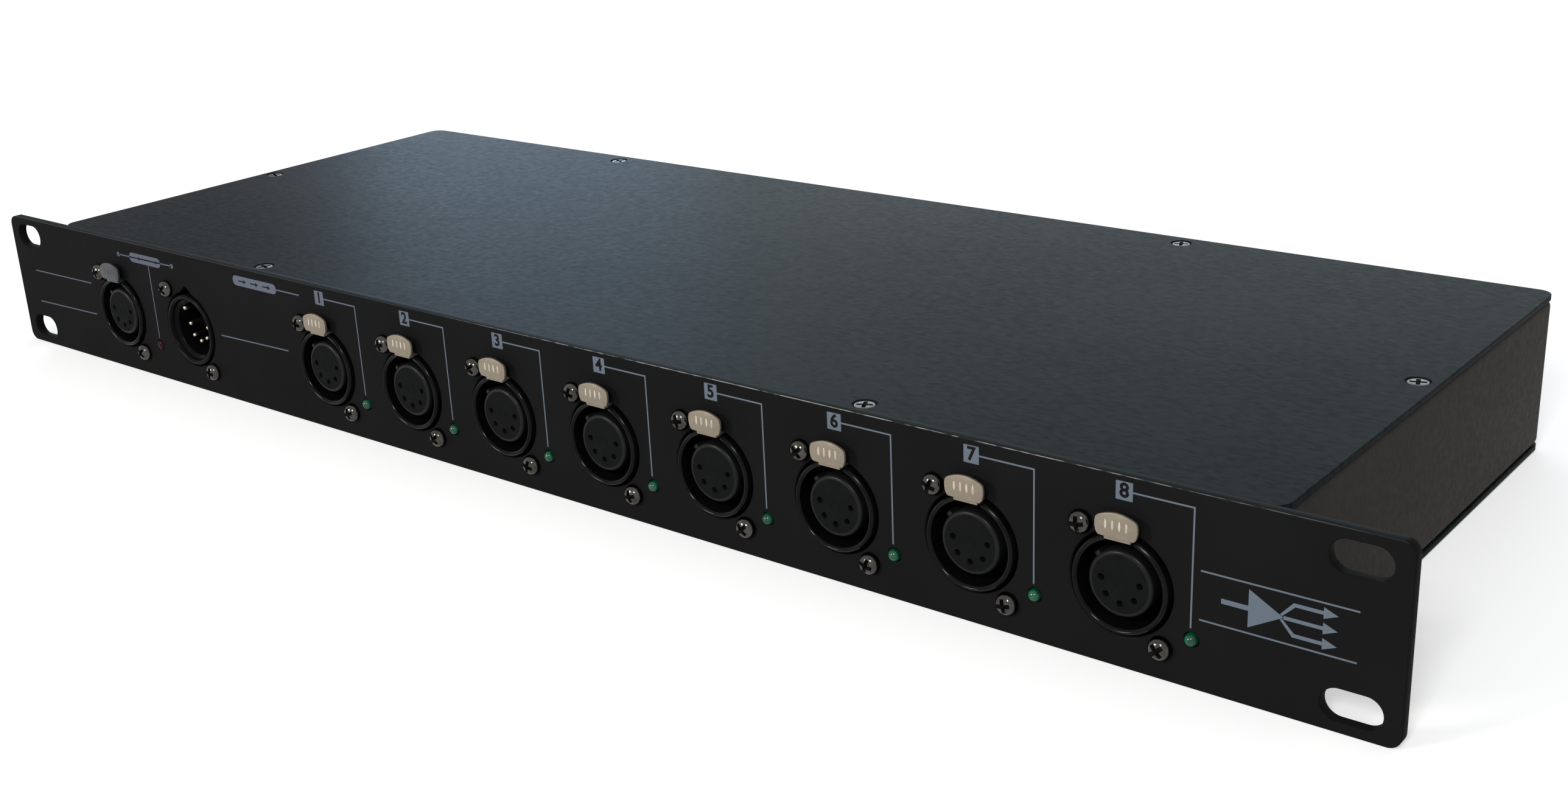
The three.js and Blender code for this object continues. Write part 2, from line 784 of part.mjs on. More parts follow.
// A board is a plate with its parts soldered on; each part is a box given by its middle and size
function onBoard(x, y, width, depth, height) {
  const top = boardTop + height;
  return block([x - width / 2, y - depth / 2, boardBottom], [x + width / 2, y + depth / 2, top]);
}

// Behind each output the main board has two chips and a converter, spread over the room behind the carriers
function mainBoard() {
  const plate = block([-mainBoardHalf, boardFront, boardBottom], [mainBoardHalf, mainBoardRear, boardTop]);
  const placeAt = (share) => carrierRear + (mainBoardRear - carrierRear) * share;
  const parts = outputs.flatMap((x) => {
    const chips = chipRowShares.map((share) => onBoard(x, placeAt(share), chipLength, chipWidth, chipHeight));
    const converterY = placeAt(converterShare);
    return [...chips, onBoard(x, converterY, converterWidth, converterDepth, converterHeight)];
  });
  return join([plate, ...parts]);
}

function powerBoard() {
  const plate = block(
    [powerBoardX - powerBoardWidth / 2, powerBoardFront, boardBottom],
    [powerBoardX + powerBoardWidth / 2, powerBoardRear, boardTop],
  );
  const capacitorX = powerBoardX + powerBoardWidth / 2 - capacitorFromSide;
  const capacitors = [-1, 1].map((side) =>
    rodZ(
      capacitorRadius,
      capacitorRadius,
      boardBottom,
      boardTop + capacitorHeight,
      screwSides,
      capacitorX,
      powerBoardMiddle + (side * capacitorSpacing) / 2,
    ),
  );
  const rectifierX = capacitorX - capacitorRadius - chipLength;
  const rectifier = onBoard(rectifierX, powerBoardMiddle, chipWidth, chipLength, converterHeight);
  return join([plate, ...capacitors, rectifier]);
}

// The transformer: a square core with the windings bulging out of both sides
function transformer() {
  const x = powerBoardX - powerBoardWidth / 2 + transformerInset + transformerWidth / 2;
  const y = powerBoardMiddle;
  const core = block(
    [x - transformerWidth / 2, y - transformerDepth / 2, boardTop],
    [x + transformerWidth / 2, y + transformerDepth / 2, boardTop + transformerHeight],
  );
  const coilHalf = transformerDepth / 2 + transformerCoilOverhang;
  const coil = block(
    [x - transformerCoilWidth / 2, y - coilHalf, boardTop + transformerCoilOverhang],
    [x + transformerCoilWidth / 2, y + coilHalf, boardTop + transformerHeight - transformerCoilOverhang],
  );
  return core.add(coil);
}

// The appliance inlet's cup: a rectangle with its two upper corners cut off
function inletCupOutline() {
  const half = inletCupWidth / 2;
  const top = inletCupRise + inletCupHeight / 2;
  const bottom = inletCupRise - inletCupHeight / 2;
  return polygon([
    [-half, bottom],
    [half, bottom],
    [half, top - inletCupCorner],
    [half - inletCupCorner, top],
    [inletCupCorner - half, top],
    [-half, top - inletCupCorner],
  ]);
}

const inletFace = frameRear + inletFlangeThickness;
const inletCupBottom = inletFace - inletCupDepth;

// Mains inlet: flange and body in one moulding, three blades in the cup, three terminals behind
function mainsInlet() {
  const flangeWide = inletBodyWidth + 2 * inletFlangeLip;
  const flangeHigh = inletBodyHeight + 2 * inletFlangeLip;
  const flange = plateY(roundedRectangle(flangeWide, flangeHigh, inletFlangeCorner), frameRear, inletFace);
  const bodyRear = frameRear - inletBodyLength;
  const body = block(
    [-inletBodyWidth / 2, bodyRear, -inletBodyHeight / 2],
    [inletBodyWidth / 2, inletFace - inletFlangeThickness / 2, inletBodyHeight / 2],
  );
  const cup = plateY(inletCupOutline(), inletCupBottom, inletFace + overrun);
  const pocketHalf = drawerWidth / 2 + runningGap;
  const pocket = block(
    [-pocketHalf, inletFace - drawerDepth - runningGap, -drawerDrop - inletPocketHeight / 2],
    [pocketHalf, inletFace + overrun, -drawerDrop + inletPocketHeight / 2],
  );
  const blades = [-1, 0, 1].map((side) => {
    const x = (side * bladeSpacing) / 2;
    const z = inletCupRise + (side === 0 ? bladeOffset : -bladeOffset);
    return block(
      [x - bladeThickness / 2, inletCupBottom - overrun, z - bladeHeight / 2],
      [x + bladeThickness / 2, inletCupBottom + bladeLength, z + bladeHeight / 2],
    );
  });
  const terminals = [-1, 0, 1].map((side) => {
    const x = (side * bladeSpacing) / 2;
    return block(
      [x - terminalWidth / 2, bodyRear - terminalLength, inletCupRise - terminalThickness / 2],
      [x + terminalWidth / 2, bodyRear + overrun, inletCupRise + terminalThickness / 2],
    );
  });
  return join([cut(flange.add(body), [cup, pocket]), ...blades, ...terminals]);
}

const fuseY = inletFace - fuseFromFace;
const fuseLength = drawerWidth - 2 * (drawerEndWall + runningGap);

// Fuse drawer: a face that hides the pocket, and a tray with a trough for the fuse
function fuseDrawer() {
  const faceHalf = drawerWidth / 2 + drawerFaceLip;
  const faceHalfZ = drawerHeight / 2 + drawerFaceLip;
  const face = block(
    [-faceHalf, inletFace, -drawerDrop - faceHalfZ],
    [faceHalf, inletFace + drawerFaceThickness, -drawerDrop + faceHalfZ],
  );
  const tray = block(
    [-drawerWidth / 2, inletFace - drawerDepth, -drawerDrop - drawerHeight / 2],
    [drawerWidth / 2, inletFace + drawerFaceThickness / 2, -drawerDrop + drawerHeight / 2],
  );
  const trough = block(
    [-fuseLength / 2 - runningGap, fuseY - fuseRadius - runningGap, -drawerDrop - fuseRadius],
    [fuseLength / 2 + runningGap, fuseY + fuseRadius + runningGap, -drawerDrop + drawerHeight],
  );
  return face.add(cut(tray, [trough]));
}

function mainsFuse() {
  const geometry = new THREE.CylinderGeometry(fuseRadius, fuseRadius, fuseLength, contactSides);
  const turnedFuse = geometry.rotateZ(Math.PI / 2).rotateX(Math.PI / contactSides);
  return solid(turnedFuse.translate(0, fuseY, -drawerDrop));
}

// The rocker fits in the body's walls, with more room at its two ends, which swing
const rockerWidth = switchBodyWidth - 2 * (switchWall + runningGap);
const rockerLength = switchBodyHeight - 2 * (switchWall + 2 * runningGap);

function switchBody() {
  const bezelWidth = switchBodyWidth + 2 * switchBezelLip;
  const bezelHeight = switchBodyHeight + 2 * switchBezelLip;
  const bezelFace = frameRear + switchBezelThickness;
  const bezel = plateY(roundedRectangle(bezelWidth, bezelHeight, switchBezelCorner), frameRear, bezelFace);
  const body = block(
    [-switchBodyWidth / 2, frameRear - switchBodyLength, -switchBodyHeight / 2],
    [switchBodyWidth / 2, bezelFace - switchBezelThickness / 2, switchBodyHeight / 2],
  );
  const pocketHalfX = rockerWidth / 2 + runningGap;
  const pocketHalfZ = rockerLength / 2 + 2 * runningGap;
  const pocket = block(
    [-pocketHalfX, frameRear - rockerPocketDepth, -pocketHalfZ],
    [pocketHalfX, bezelFace + overrun, pocketHalfZ],
  );
  const terminals = [-1, 1].map((side) => {
    const z = side * switchBodyHeight * switchTerminalShare;
    const rear = frameRear - switchBodyLength;
    return block(
      [-terminalWidth / 2, rear - terminalLength, z - terminalThickness / 2],
      [terminalWidth / 2, rear + overrun, z + terminalThickness / 2],
    );
  });
  return join([cut(bezel.add(body), [pocket]), ...terminals]);
}

// The rocker's side view, level, with its pivot at the origin: two wings over a hub
function rockerOutline() {
  const half = rockerLength / 2;
  return polygon([
    [rockerCentreRise, 0],
    [rockerEndRise, half],
    [-rockerFlank, half - rockerFlankTaper],
    [-rockerHub, rockerHubHalf],
    [-rockerHub, -rockerHubHalf],
    [-rockerFlank, rockerFlankTaper - half],
    [rockerEndRise, -half],
  ]);
}

function switchRocker() {
  const level = profileX(rockerOutline(), rockerWidth);
  return level.rotate([rockerTiltDegrees, 0, 0]).translate([0, frameRear, 0]);
}

// The unit, built up piece by piece
const unit = new THREE.Group();
unit.add(piece("front_panel", frontPanel(), powderBlack));
unit.add(piece("chassis_frame", chassisFrame(), powderBlack));
unit.add(piece("top_cover", topCover(), coverSlate));
unit.add(piece("bottom_cover", bottomCover(), coverSlate));
const screw = coverScrew();
coverScrewPlaces.forEach(([x, y], index) => {
  const mesh = piece(`cover_screw_${index + 1}`, screw, screwNickel, x);
  mesh.position.y = y;
  unit.add(mesh);
});

const shell = femaleShell();
const insert = femaleInsert();
const push = latch();
const sockets = [["through", throughX], ...outputs.map((x, index) => [`output_${index + 1}`, x])];
for (const [name, x] of sockets) {
  unit.add(piece(`${name}_shell`, shell, shellBlack, x, connectorZ));
  unit.add(piece(`${name}_insert`, insert, insertGrey, x, connectorZ));
  unit.add(piece(`${name}_latch`, push, latchNickel, x, connectorZ));
}
unit.add(piece("input_shell", maleShell(), shellBlack, inputX, connectorZ));
unit.add(piece("input_insert", maleInsert(), insertGrey, inputX, connectorZ));

const lampSolid = lamp();
lampXs.forEach((x, index) => {
  const name = index === 0 ? "power_lamp" : `output_${index}_lamp`;
  unit.add(piece(name, lampSolid, index === 0 ? lampRed : lampGreen, x, lampZ));
});

unit.add(piece("main_board", mainBoard(), boardGreen));
unit.add(piece("power_board", powerBoard(), boardGreen));
unit.add(piece("transformer", transformer(), transformerSteel));
unit.add(piece("mains_inlet", mainsInlet(), inletBlack, inletX));
unit.add(piece("fuse_drawer", fuseDrawer(), inletBlack, inletX));
unit.add(piece("mains_fuse", mainsFuse(), glassClear, inletX));
unit.add(piece("switch_body", switchBody(), inletBlack, switchX));
unit.add(piece("switch_rocker", switchRocker(), inletBlack, switchX));

// Origin: under the middle of the unit, from the front of the tabs to the back of the fuse drawer
const rearmost = inletFace + drawerFaceThickness;
unit.position.set(0, -(tabFront + rearmost) / 2, panelHalfHeight);

const splitter = new THREE.Group();
splitter.add(unit);
export default splitter;
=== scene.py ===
import math

import bmesh
import bpy
from mathutils import Matrix, Vector


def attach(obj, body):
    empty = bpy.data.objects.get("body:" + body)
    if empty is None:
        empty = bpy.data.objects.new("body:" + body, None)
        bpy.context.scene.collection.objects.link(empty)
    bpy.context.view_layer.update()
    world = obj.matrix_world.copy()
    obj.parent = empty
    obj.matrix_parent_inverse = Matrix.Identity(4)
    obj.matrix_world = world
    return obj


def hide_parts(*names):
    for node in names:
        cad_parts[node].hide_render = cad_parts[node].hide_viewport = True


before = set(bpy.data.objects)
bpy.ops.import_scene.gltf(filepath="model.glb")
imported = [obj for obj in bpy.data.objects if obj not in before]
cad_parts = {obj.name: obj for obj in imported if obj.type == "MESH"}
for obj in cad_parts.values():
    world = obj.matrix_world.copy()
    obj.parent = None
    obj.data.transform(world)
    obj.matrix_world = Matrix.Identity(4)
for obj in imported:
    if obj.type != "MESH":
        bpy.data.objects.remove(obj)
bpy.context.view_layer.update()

# The camera of the photograph: it stands to the right of the unit, a little above it, and looks
# down along the row of sockets. Sizes are millimetres from the middle of the panel's front face.
PANEL_HALF_HEIGHT = 21.83
UNIT_SHIFT_BACK = -84.1


def spot(x, y, z):
    return Vector((x, y + UNIT_SHIFT_BACK, z + PANEL_HALF_HEIGHT)) / 1000


def new_object(name, data, place=None):
    """An object in the scene; place is its matrix."""
    made = bpy.data.objects.new(name, data)
    made.matrix_world = place or Matrix.Identity(4)
    bpy.context.scene.collection.objects.link(made)
    return made


camera_lens = bpy.data.cameras.new("photo_camera")
camera_lens.sensor_width = 36
camera_lens.lens = 42.52
camera_lens.clip_start = 0.02
camera_lens.clip_end = 50
camera_right = Vector((0.78226, 0.62141, -0.0437))
camera_up = Vector((-0.1844, 0.29801, 0.93658))
camera_back = Vector((0.59503, -0.7246, 0.34771))
camera_turn = Matrix((camera_right, camera_up, camera_back)).transposed().to_4x4()
camera_place = Matrix.Translation(spot(347.17, -309.4, 169.26)) @ camera_turn
bpy.context.scene.camera = new_object("photo_camera", camera_lens, camera_place)
bpy.context.scene.view_settings.view_transform = "Standard"

# The table: a white sheet that the unit stands on, under a soft white sky. Two small windows in
# front give the bright marks on metal, and a wide one behind lays a cool sheen on the cover.
sheet_mesh = bpy.data.meshes.new("studio_floor")
sheet_mesh.from_pydata([(-4, -4, 0), (4, -4, 0), (4, 4, 0), (-4, 4, 0)], [], [(0, 1, 2, 3)])
floor = new_object("studio_floor", sheet_mesh)


def seen_directly(nodes, links):
    """One where a camera, glossy or transmission ray arrives, and nothing for other rays."""
    path = nodes.new("ShaderNodeLightPath")
    found = path.outputs["Is Camera Ray"]
    for kind in ("Is Glossy Ray", "Is Transmission Ray"):
        either = nodes.new("ShaderNodeMath")
        either.operation = "MAXIMUM"
        links.new(found, either.inputs[0])
        links.new(path.outputs[kind], either.inputs[1])
        found = either.outputs[0]
    return found


def set_values(node, values):
    """Sets a node's inputs by their names."""
    for name, value in values.items():
        node.inputs[name].default_value = value
    return node


floor_white = bpy.data.materials.new("floor_white")
floor_white.use_nodes = True
floor_nodes, floor_links = floor_white.node_tree.nodes, floor_white.node_tree.links
floor_shader = floor_nodes["Principled BSDF"]
set_values(floor_shader, {"Base Color": (0.8, 0.8, 0.8, 1), "Roughness": 0.9, "Specular IOR Level": 0})
set_values(floor_shader, {"Emission Color": (1, 1, 1, 1)})
floor_glow = floor_nodes.new("ShaderNodeMath")
floor_glow.operation = "MULTIPLY"
floor_glow.inputs[1].default_value = 0.42
floor_links.new(seen_directly(floor_nodes, floor_links), floor_glow.inputs[0])
floor_links.new(floor_glow.outputs[0], floor_shader.inputs["Emission Strength"])
floor.data.materials.append(floor_white)

sky = bpy.data.worlds.new("studio_sky")
bpy.context.scene.world = sky
sky.use_nodes = True
sky_nodes, sky_links = sky.node_tree.nodes, sky.node_tree.links
sky_light = set_values(sky_nodes["Background"], {"Color": (1, 1, 1, 1)})
sky_level = set_values(sky_nodes.new("ShaderNodeMapRange"), {"To Min": 0.5, "To Max": 1.0})
sky_links.new(seen_directly(sky_nodes, sky_links), sky_level.inputs["Value"])
sky_links.new(sky_level.outputs["Result"], sky_light.inputs["Strength"])


def studio_lamp(name, place, aim, width, height, power, colour):
    data = bpy.data.lights.new(name, "AREA")
    data.shape = "RECTANGLE"
    data.size, data.size_y = width, height
    data.energy = power
    data.color = colour
    lamp = new_object(name, data)
    lamp.location = place
    lamp.rotation_mode = "QUATERNION"
    lamp.rotation_quaternion = (Vector(aim) - Vector(place)).to_track_quat("-Z", "Y")


studio_lamp("left_window", (-1.5, -2.6, 0.9), (0.1, 0, 0.02), 0.7, 0.7, 44, (1.0, 0.96, 0.9))
studio_lamp("front_window", (0.5, -1.35, 0.95), (0.2, 0, 0.02), 0.3, 0.3, 11, (0.97, 0.98, 1.0))
studio_lamp("back_window", (-1.88, 3.33, 1.17), (0, 0, 0.04), 3.5, 1.8, 66, (0.77, 0.92, 1.0))
studio_lamp("back_corner", (-2.82, 2.55, 1.17), (0, 0, 0.04), 0.84, 1.8, 13, (0.3, 0.6, 1.0))

# Front panel: 3 mm steel plate punched with rack slots, socket holes and lamp holes, with its
# edges broken, coated with a fine matt black powder that shows a faint grain up close.
PANEL_WIDTH, PANEL_HEIGHT, PANEL_THICKNESS = 482.6, 2 * PANEL_HALF_HEIGHT, 3.0
PANEL_CORNER, PANEL_EDGE = 3.0, 0.35
RACK_SLOT_X, RACK_SLOT_Z, RACK_SLOT = 231.0, 15.875, (12.8, 7.3, 3.64)
SOCKET_Z, SOCKET_PITCH, SOCKET_SPAN = -2.4, 36.85, 361.6
THROUGH_X = -SOCKET_SPAN / 2
INPUT_X = THROUGH_X + SOCKET_PITCH
OUTPUT_XS = [SOCKET_SPAN / 2 - SOCKET_PITCH * (7 - place) for place in range(8)]
SOCKET_XS = [THROUGH_X, INPUT_X, *OUTPUT_XS]
HOLE_RADIUS, NOTCH_HALF_WIDTH, NOTCH_TOP = 12.0, 3.3, 14.1
LAMP_ASIDE, LAMP_Z, LAMP_HOLE_RADIUS = 16.25, SOCKET_Z - 8.25, 1.65
LAMP_XS = [(THROUGH_X + INPUT_X) / 2] + [x + LAMP_ASIDE for x in OUTPUT_XS]


def rounded_outline(width, height, radius, x=0.0, z=0.0, steps=10):
    """Corner points of a rectangle with rounded corners, anticlockwise seen from the front."""
    points = []
    for side_x, side_z, start in ((1, 1, 0), (-1, 1, 90), (-1, -1, 180), (1, -1, 270)):
        middle_x, middle_z = x + side_x * (width / 2 - radius), z + side_z * (height / 2 - radius)
        for step in range(steps + 1):
            angle = math.radians(start + 90 * step / steps)
            points.append((middle_x + radius * math.cos(angle), middle_z + radius * math.sin(angle)))
    return points


def round_outline(radius, x=0.0, z=0.0, sides=64):
    turns = [2 * math.pi * i / sides for i in range(sides)]
    return [(x + radius * math.cos(turn), z + radius * math.sin(turn)) for turn in turns]


def socket_hole(x):
    """A round hole with a pointed notch at its top, where a plug is keyed."""
    notch = math.asin(NOTCH_HALF_WIDTH / HOLE_RADIUS)
    turns = [math.pi / 2 + notch + (2 * math.pi - 2 * notch) * i / 60 for i in range(61)]
    points = [(x + HOLE_RADIUS * math.cos(turn), SOCKET_Z + HOLE_RADIUS * math.sin(turn)) for turn in turns]
    tip = SOCKET_Z + NOTCH_TOP
    return points + [(x + 0.5, tip - 0.25), (x, tip), (x - 0.5, tip - 0.25)]


def clean_loop(points):
    """The points without those that repeat the one before."""
    kept = []
    for point in points:
        if not kept or math.dist(point, kept[-1]) > 1e-4:
            kept.append(point)
    if math.dist(kept[0], kept[-1]) < 1e-4:
        kept.pop()
    return kept


def upright(u, v, depth):
    return spot(u, depth, v)


def punched_plate(bm, outlines, near, far, edge=0.0, place=upright, steps=2):
    """A flat plate with holes. The outlines lie in its plane, place(u, v, depth) puts a point, and
    edge is the width of its broken edges in millimetres, or less where its points leave no room."""
    loops = []
    for outline in outlines:
        ring = [bm.verts.new(place(u, v, near)) for u, v in clean_loop(outline)]
        loops += [bm.edges.new((ring[i], ring[(i + 1) % len(ring)])) for i in range(len(ring))]
    filled = bmesh.ops.triangle_fill(bm, edges=loops, use_beauty=True, use_dissolve=False)
    front = [item for item in filled["geom"] if isinstance(item, bmesh.types.BMFace)]
    thrown = bmesh.ops.extrude_face_region(bm, geom=front, use_keep_orig=True)
    shift = place(0, 0, far) - place(0, 0, near)
    moved = [item for item in thrown["geom"] if isinstance(item, bmesh.types.BMVert)]
    bmesh.ops.translate(bm, vec=shift, verts=moved)
    back = {item for item in thrown["geom"] if isinstance(item, bmesh.types.BMFace)}
    flats = set(front) | back
    walls = {face for vert in moved for face in vert.link_faces if face not in flats}
    for face in walls:
        face.smooth = True
    bmesh.ops.recalc_face_normals(bm, faces=list(flats | walls))
    if edge:
        rims = [e for face in walls for e in face.edges if sum(f in flats for f in e.link_faces) == 1]
        shape = {"offset": edge / 1000, "segments": steps, "profile": 0.5, "clamp_overlap": True}
        for face in bmesh.ops.bevel(bm, geom=list(dict.fromkeys(rims)), affect="EDGES", **shape)["faces"]:
            face.smooth = True


def smooth_mesh(mesh, angle):
    """Smooth shading, with edges over the angle kept sharp."""
    mesh.polygons.foreach_set("use_smooth", [True] * len(mesh.polygons))
    mesh.set_sharp_from_angle(angle=math.radians(angle))
    return mesh


def mesh_of(bm, name, *materials, smooth=None):
    mesh = bpy.data.meshes.new(name)
    bm.to_mesh(mesh)
    bm.free()
    for material in materials:
        mesh.materials.append(material)
    return mesh if smooth is None else smooth_mesh(mesh, smooth)


def set_piece(name, data, body, place=None):
    """An object that rides on a body; place is its matrix."""
    piece = new_object(name, data, place)
    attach(piece, body)
    return piece


def finished_piece(name, bm, material, body, smooth=None):
    return set_piece(name, mesh_of(bm, name, material, smooth=smooth), body)


def surface(name, colour, roughness, metallic=0.0, specular=0.5):
    """A material with its plain values on the shader's own sockets, ready for detail."""
    material = bpy.data.materials.new(name)
    material.use_nodes = True
    shader = material.node_tree.nodes["Principled BSDF"]
    set_values(shader, {"Base Color": (*colour, 1), "Roughness": roughness})
    set_values(shader, {"Metallic": metallic, "Specular IOR Level": specular})
    return material


def speckle(material, scale, detail, stretch=(1, 1, 1)):
    """A noise over the piece's own coordinates; scale counts its lumps per metre."""
    nodes, links = material.node_tree.nodes, material.node_tree.links
    where = nodes.new("ShaderNodeTexCoord")
    spread = set_values(nodes.new("ShaderNodeMapping"), {"Scale": stretch})
    noise = set_values(nodes.new("ShaderNodeTexNoise"), {"Scale": scale, "Detail": detail})
    links.new(where.outputs["Object"], spread.inputs["Vector"])
    links.new(spread.outputs["Vector"], noise.inputs["Vector"])
    return noise.outputs["Fac"]


def feed(material, pattern, socket):
    """Links a pattern, which is an output or the figures of a speckle, to a node's input."""
    output = speckle(material, *pattern) if isinstance(pattern, tuple) else pattern
    material.node_tree.links.new(output, socket)


def vary_colour(material, pattern, dark, light, low=0.3, high=0.7):
    nodes, links = material.node_tree.nodes, material.node_tree.links
    ramp = nodes.new("ShaderNodeValToRGB")
    ramp.color_ramp.elements[0].position = low
    ramp.color_ramp.elements[0].color = (*dark, 1)
    ramp.color_ramp.elements[1].position = high
    ramp.color_ramp.elements[1].color = (*light, 1)
    feed(material, pattern, ramp.inputs["Fac"])
    links.new(ramp.outputs["Color"], nodes["Principled BSDF"].inputs["Base Color"])


def vary_roughness(material, pattern, smooth, rough):
    nodes, links = material.node_tree.nodes, material.node_tree.links
    spread = set_values(nodes.new("ShaderNodeMapRange"), {"From Min": 0.3, "From Max": 0.7})
    set_values(spread, {"To Min": smooth, "To Max": rough})
    feed(material, pattern, spread.inputs["Value"])
    links.new(spread.outputs["Result"], nodes["Principled BSDF"].inputs["Roughness"])


def raise_grain(material, pattern, strength, height):
    """Bump from a pattern; a second call stacks on the first."""
    nodes, links = material.node_tree.nodes, material.node_tree.links
    bump = set_values(nodes.new("ShaderNodeBump"), {"Strength": strength, "Distance": height})
    feed(material, pattern, bump.inputs["Height"])
    socket = nodes["Principled BSDF"].inputs["Normal"]
    if socket.is_linked:
        links.new(socket.links[0].from_socket, bump.inputs["Normal"])
    links.new(bump.outputs["Normal"], socket)


black_powder = surface("black_powder", (0.0085, 0.0086, 0.0088), 0.55, specular=0.008)
vary_colour(black_powder, (38, 3), (0.0078, 0.0079, 0.0081), (0.0092, 0.0093, 0.0095))
powder_grain = speckle(black_powder, 2600, 2)
vary_roughness(black_powder, powder_grain, 0.46, 0.62)
raise_grain(black_powder, powder_grain, 0.35, 0.00004)
raise_grain(black_powder, (750, 1), 0.25, 0.00006)

panel_outlines = [rounded_outline(PANEL_WIDTH, PANEL_HEIGHT, PANEL_CORNER)]
for side_x in (-RACK_SLOT_X, RACK_SLOT_X):
    for side_z in (-RACK_SLOT_Z, RACK_SLOT_Z):
        panel_outlines.append(rounded_outline(*RACK_SLOT, side_x, side_z))
panel_outlines += [socket_hole(x) for x in SOCKET_XS]
panel_outlines += [round_outline(LAMP_HOLE_RADIUS, x, LAMP_Z, 32) for x in LAMP_XS]
panel_shape = bmesh.new()
punched_plate(panel_shape, panel_outlines, 0.0, PANEL_THICKNESS, PANEL_EDGE)
front_panel = finished_piece("front_plate", panel_shape, black_powder, "unit")

# Painted light: the panel's top face is coloured a lighter slate like the cover, not the panel's black, to
# stand for the light it catches from above.
top_face_painted_light = surface("top_face_painted_light", (0.0125, 0.0155, 0.017), 0.4, specular=0.003)
vary_colour(top_face_painted_light, (60, 4), (0.011, 0.0138, 0.0152), (0.0138, 0.0172, 0.019))
raise_grain(top_face_painted_light, (1400, 2), 0.3, 0.00005)

# Wear and painted light: the top front chamfer's coat is coloured lighter than the panel as a painted
# highlight along the edge, and along one stretch it is chipped through to bare steel.
worn_edge_and_painted_light = surface("worn_edge_and_painted_light", (0.012, 0.014, 0.015), 0.34, specular=0.1)
worn_nodes, worn_links = worn_edge_and_painted_light.node_tree.nodes, worn_edge_and_painted_light.node_tree.links


def rise_along(material, start, full):
    """Rises from 0 to 1 between two places along the panel, given in metres from its middle."""
    nodes, links = material.node_tree.nodes, material.node_tree.links
    where = nodes.new("ShaderNodeTexCoord")
    along = nodes.new("ShaderNodeSeparateXYZ")
    rise = set_values(nodes.new("ShaderNodeMapRange"), {"From Min": start, "From Max": full})
    links.new(where.outputs["Object"], along.inputs["Vector"])
    links.new(along.outputs["X"], rise.inputs["Value"])
    return rise.outputs["Result"]


def both(first, second):
    product = worn_nodes.new("ShaderNodeMath")
    product.operation = "MULTIPLY"
    worn_links.new(first, product.inputs[0])
    worn_links.new(second, product.inputs[1])
    return product.outputs[0]


chips = set_values(worn_nodes.new("ShaderNodeMapRange"), {"From Min": 0.4, "From Max": 0.58})
feed(worn_edge_and_painted_light, (260, 4), chips.inputs["Value"])
worn_stretch = both(rise_along(worn_edge_and_painted_light, -0.03, 0.04), rise_along(worn_edge_and_painted_light, 0.235, 0.15))
bare_share = both(worn_stretch, chips.outputs["Result"])
bare_mix = worn_nodes.new("ShaderNodeMix")
bare_mix.data_type = "RGBA"
bare_mix.inputs["A"].default_value = (0.012, 0.014, 0.015, 1)
bare_mix.inputs["B"].default_value = (0.34, 0.32, 0.29, 1)
worn_links.new(bare_share, bare_mix.inputs["Factor"])
worn_links.new(bare_mix.outputs["Result"], worn_nodes["Principled BSDF"].inputs["Base Color"])
worn_links.new(bare_share, worn_nodes["Principled BSDF"].inputs["Metallic"])
front_panel.data.materials.append(top_face_painted_light)
front_panel.data.materials.append(worn_edge_and_painted_light)
# Painted light: top faces take the lightened colour in slot 1, and the top front chamfer takes the worn edge
# with its painted highlight in slot 2.
for face in front_panel.data.polygons:
    at_top = face.center.z > spot(0, 0, PANEL_HALF_HEIGHT - PANEL_EDGE - 0.01).z
    if at_top and face.normal.z > 0.98:
        face.material_index = 1
    elif at_top and face.normal.z > 0.6 and face.normal.y < -0.2:
        face.material_index = 2
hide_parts("front_panel")

# Screen print on the panel: pale lavender-grey ink, a few hundredths of a millimetre thick. Each
# output has a numbered square with a line that leads to its lamp, and rules fill the bare stretches.
INK_DEPTH, LINE_WIDTH = 0.03, 0.38
SQUARE_WIDTH, SQUARE_HEIGHT, SQUARE_ASIDE, SQUARE_Z = 3.9, 4.15, 0.35, 18.55
pale_ink = surface("pale_ink", (0.113, 0.146, 0.19), 0.6, specular=0.1)


def mixed_pattern(material, first, second, share):
    """Two patterns as one, with share of the second."""
    mixer = set_values(material.node_tree.nodes.new("ShaderNodeMix"), {"Factor": share})
    feed(material, first, mixer.inputs["A"])
    feed(material, second, mixer.inputs["B"])
    return mixer.outputs["Result"]


# Painted light: the ink is coloured darker at the left end and lighter towards the right, for the fall of
# light along the panel, with a little random tone mixed in.
ink_painted_light_and_tone = mixed_pattern(pale_ink, rise_along(pale_ink, -0.2, 0.04), (900, 4), 0.15)
vary_colour(pale_ink, ink_painted_light_and_tone, (0.085, 0.09, 0.125), (0.108, 0.134, 0.166), 0.05, 0.95)
raise_grain(pale_ink, (2600, 2), 0.2, 0.00003)
dark_ink = surface("dark_ink", (0.005, 0.005, 0.006), 0.6, specular=0.05)
vary_colour(dark_ink, (900, 3), (0.004, 0.004, 0.005), (0.007, 0.007, 0.008))

ink_shape = bmesh.new()


def print_area(bm, outline, depth=INK_DEPTH):
    punched_plate(bm, [outline], -depth, 0.0)


def print_line(bm, start, end, width=LINE_WIDTH):
    (x0, z0), (x1, z1) = start, end
    half = width / 2 / math.dist(start, end)
    u, v = (z0 - z1) * half, (x1 - x0) * half
    print_area(bm, [(x0 - u, z0 - v), (x1 - u, z1 - v), (x1 + u, z1 + v), (x0 + u, z0 + v)])


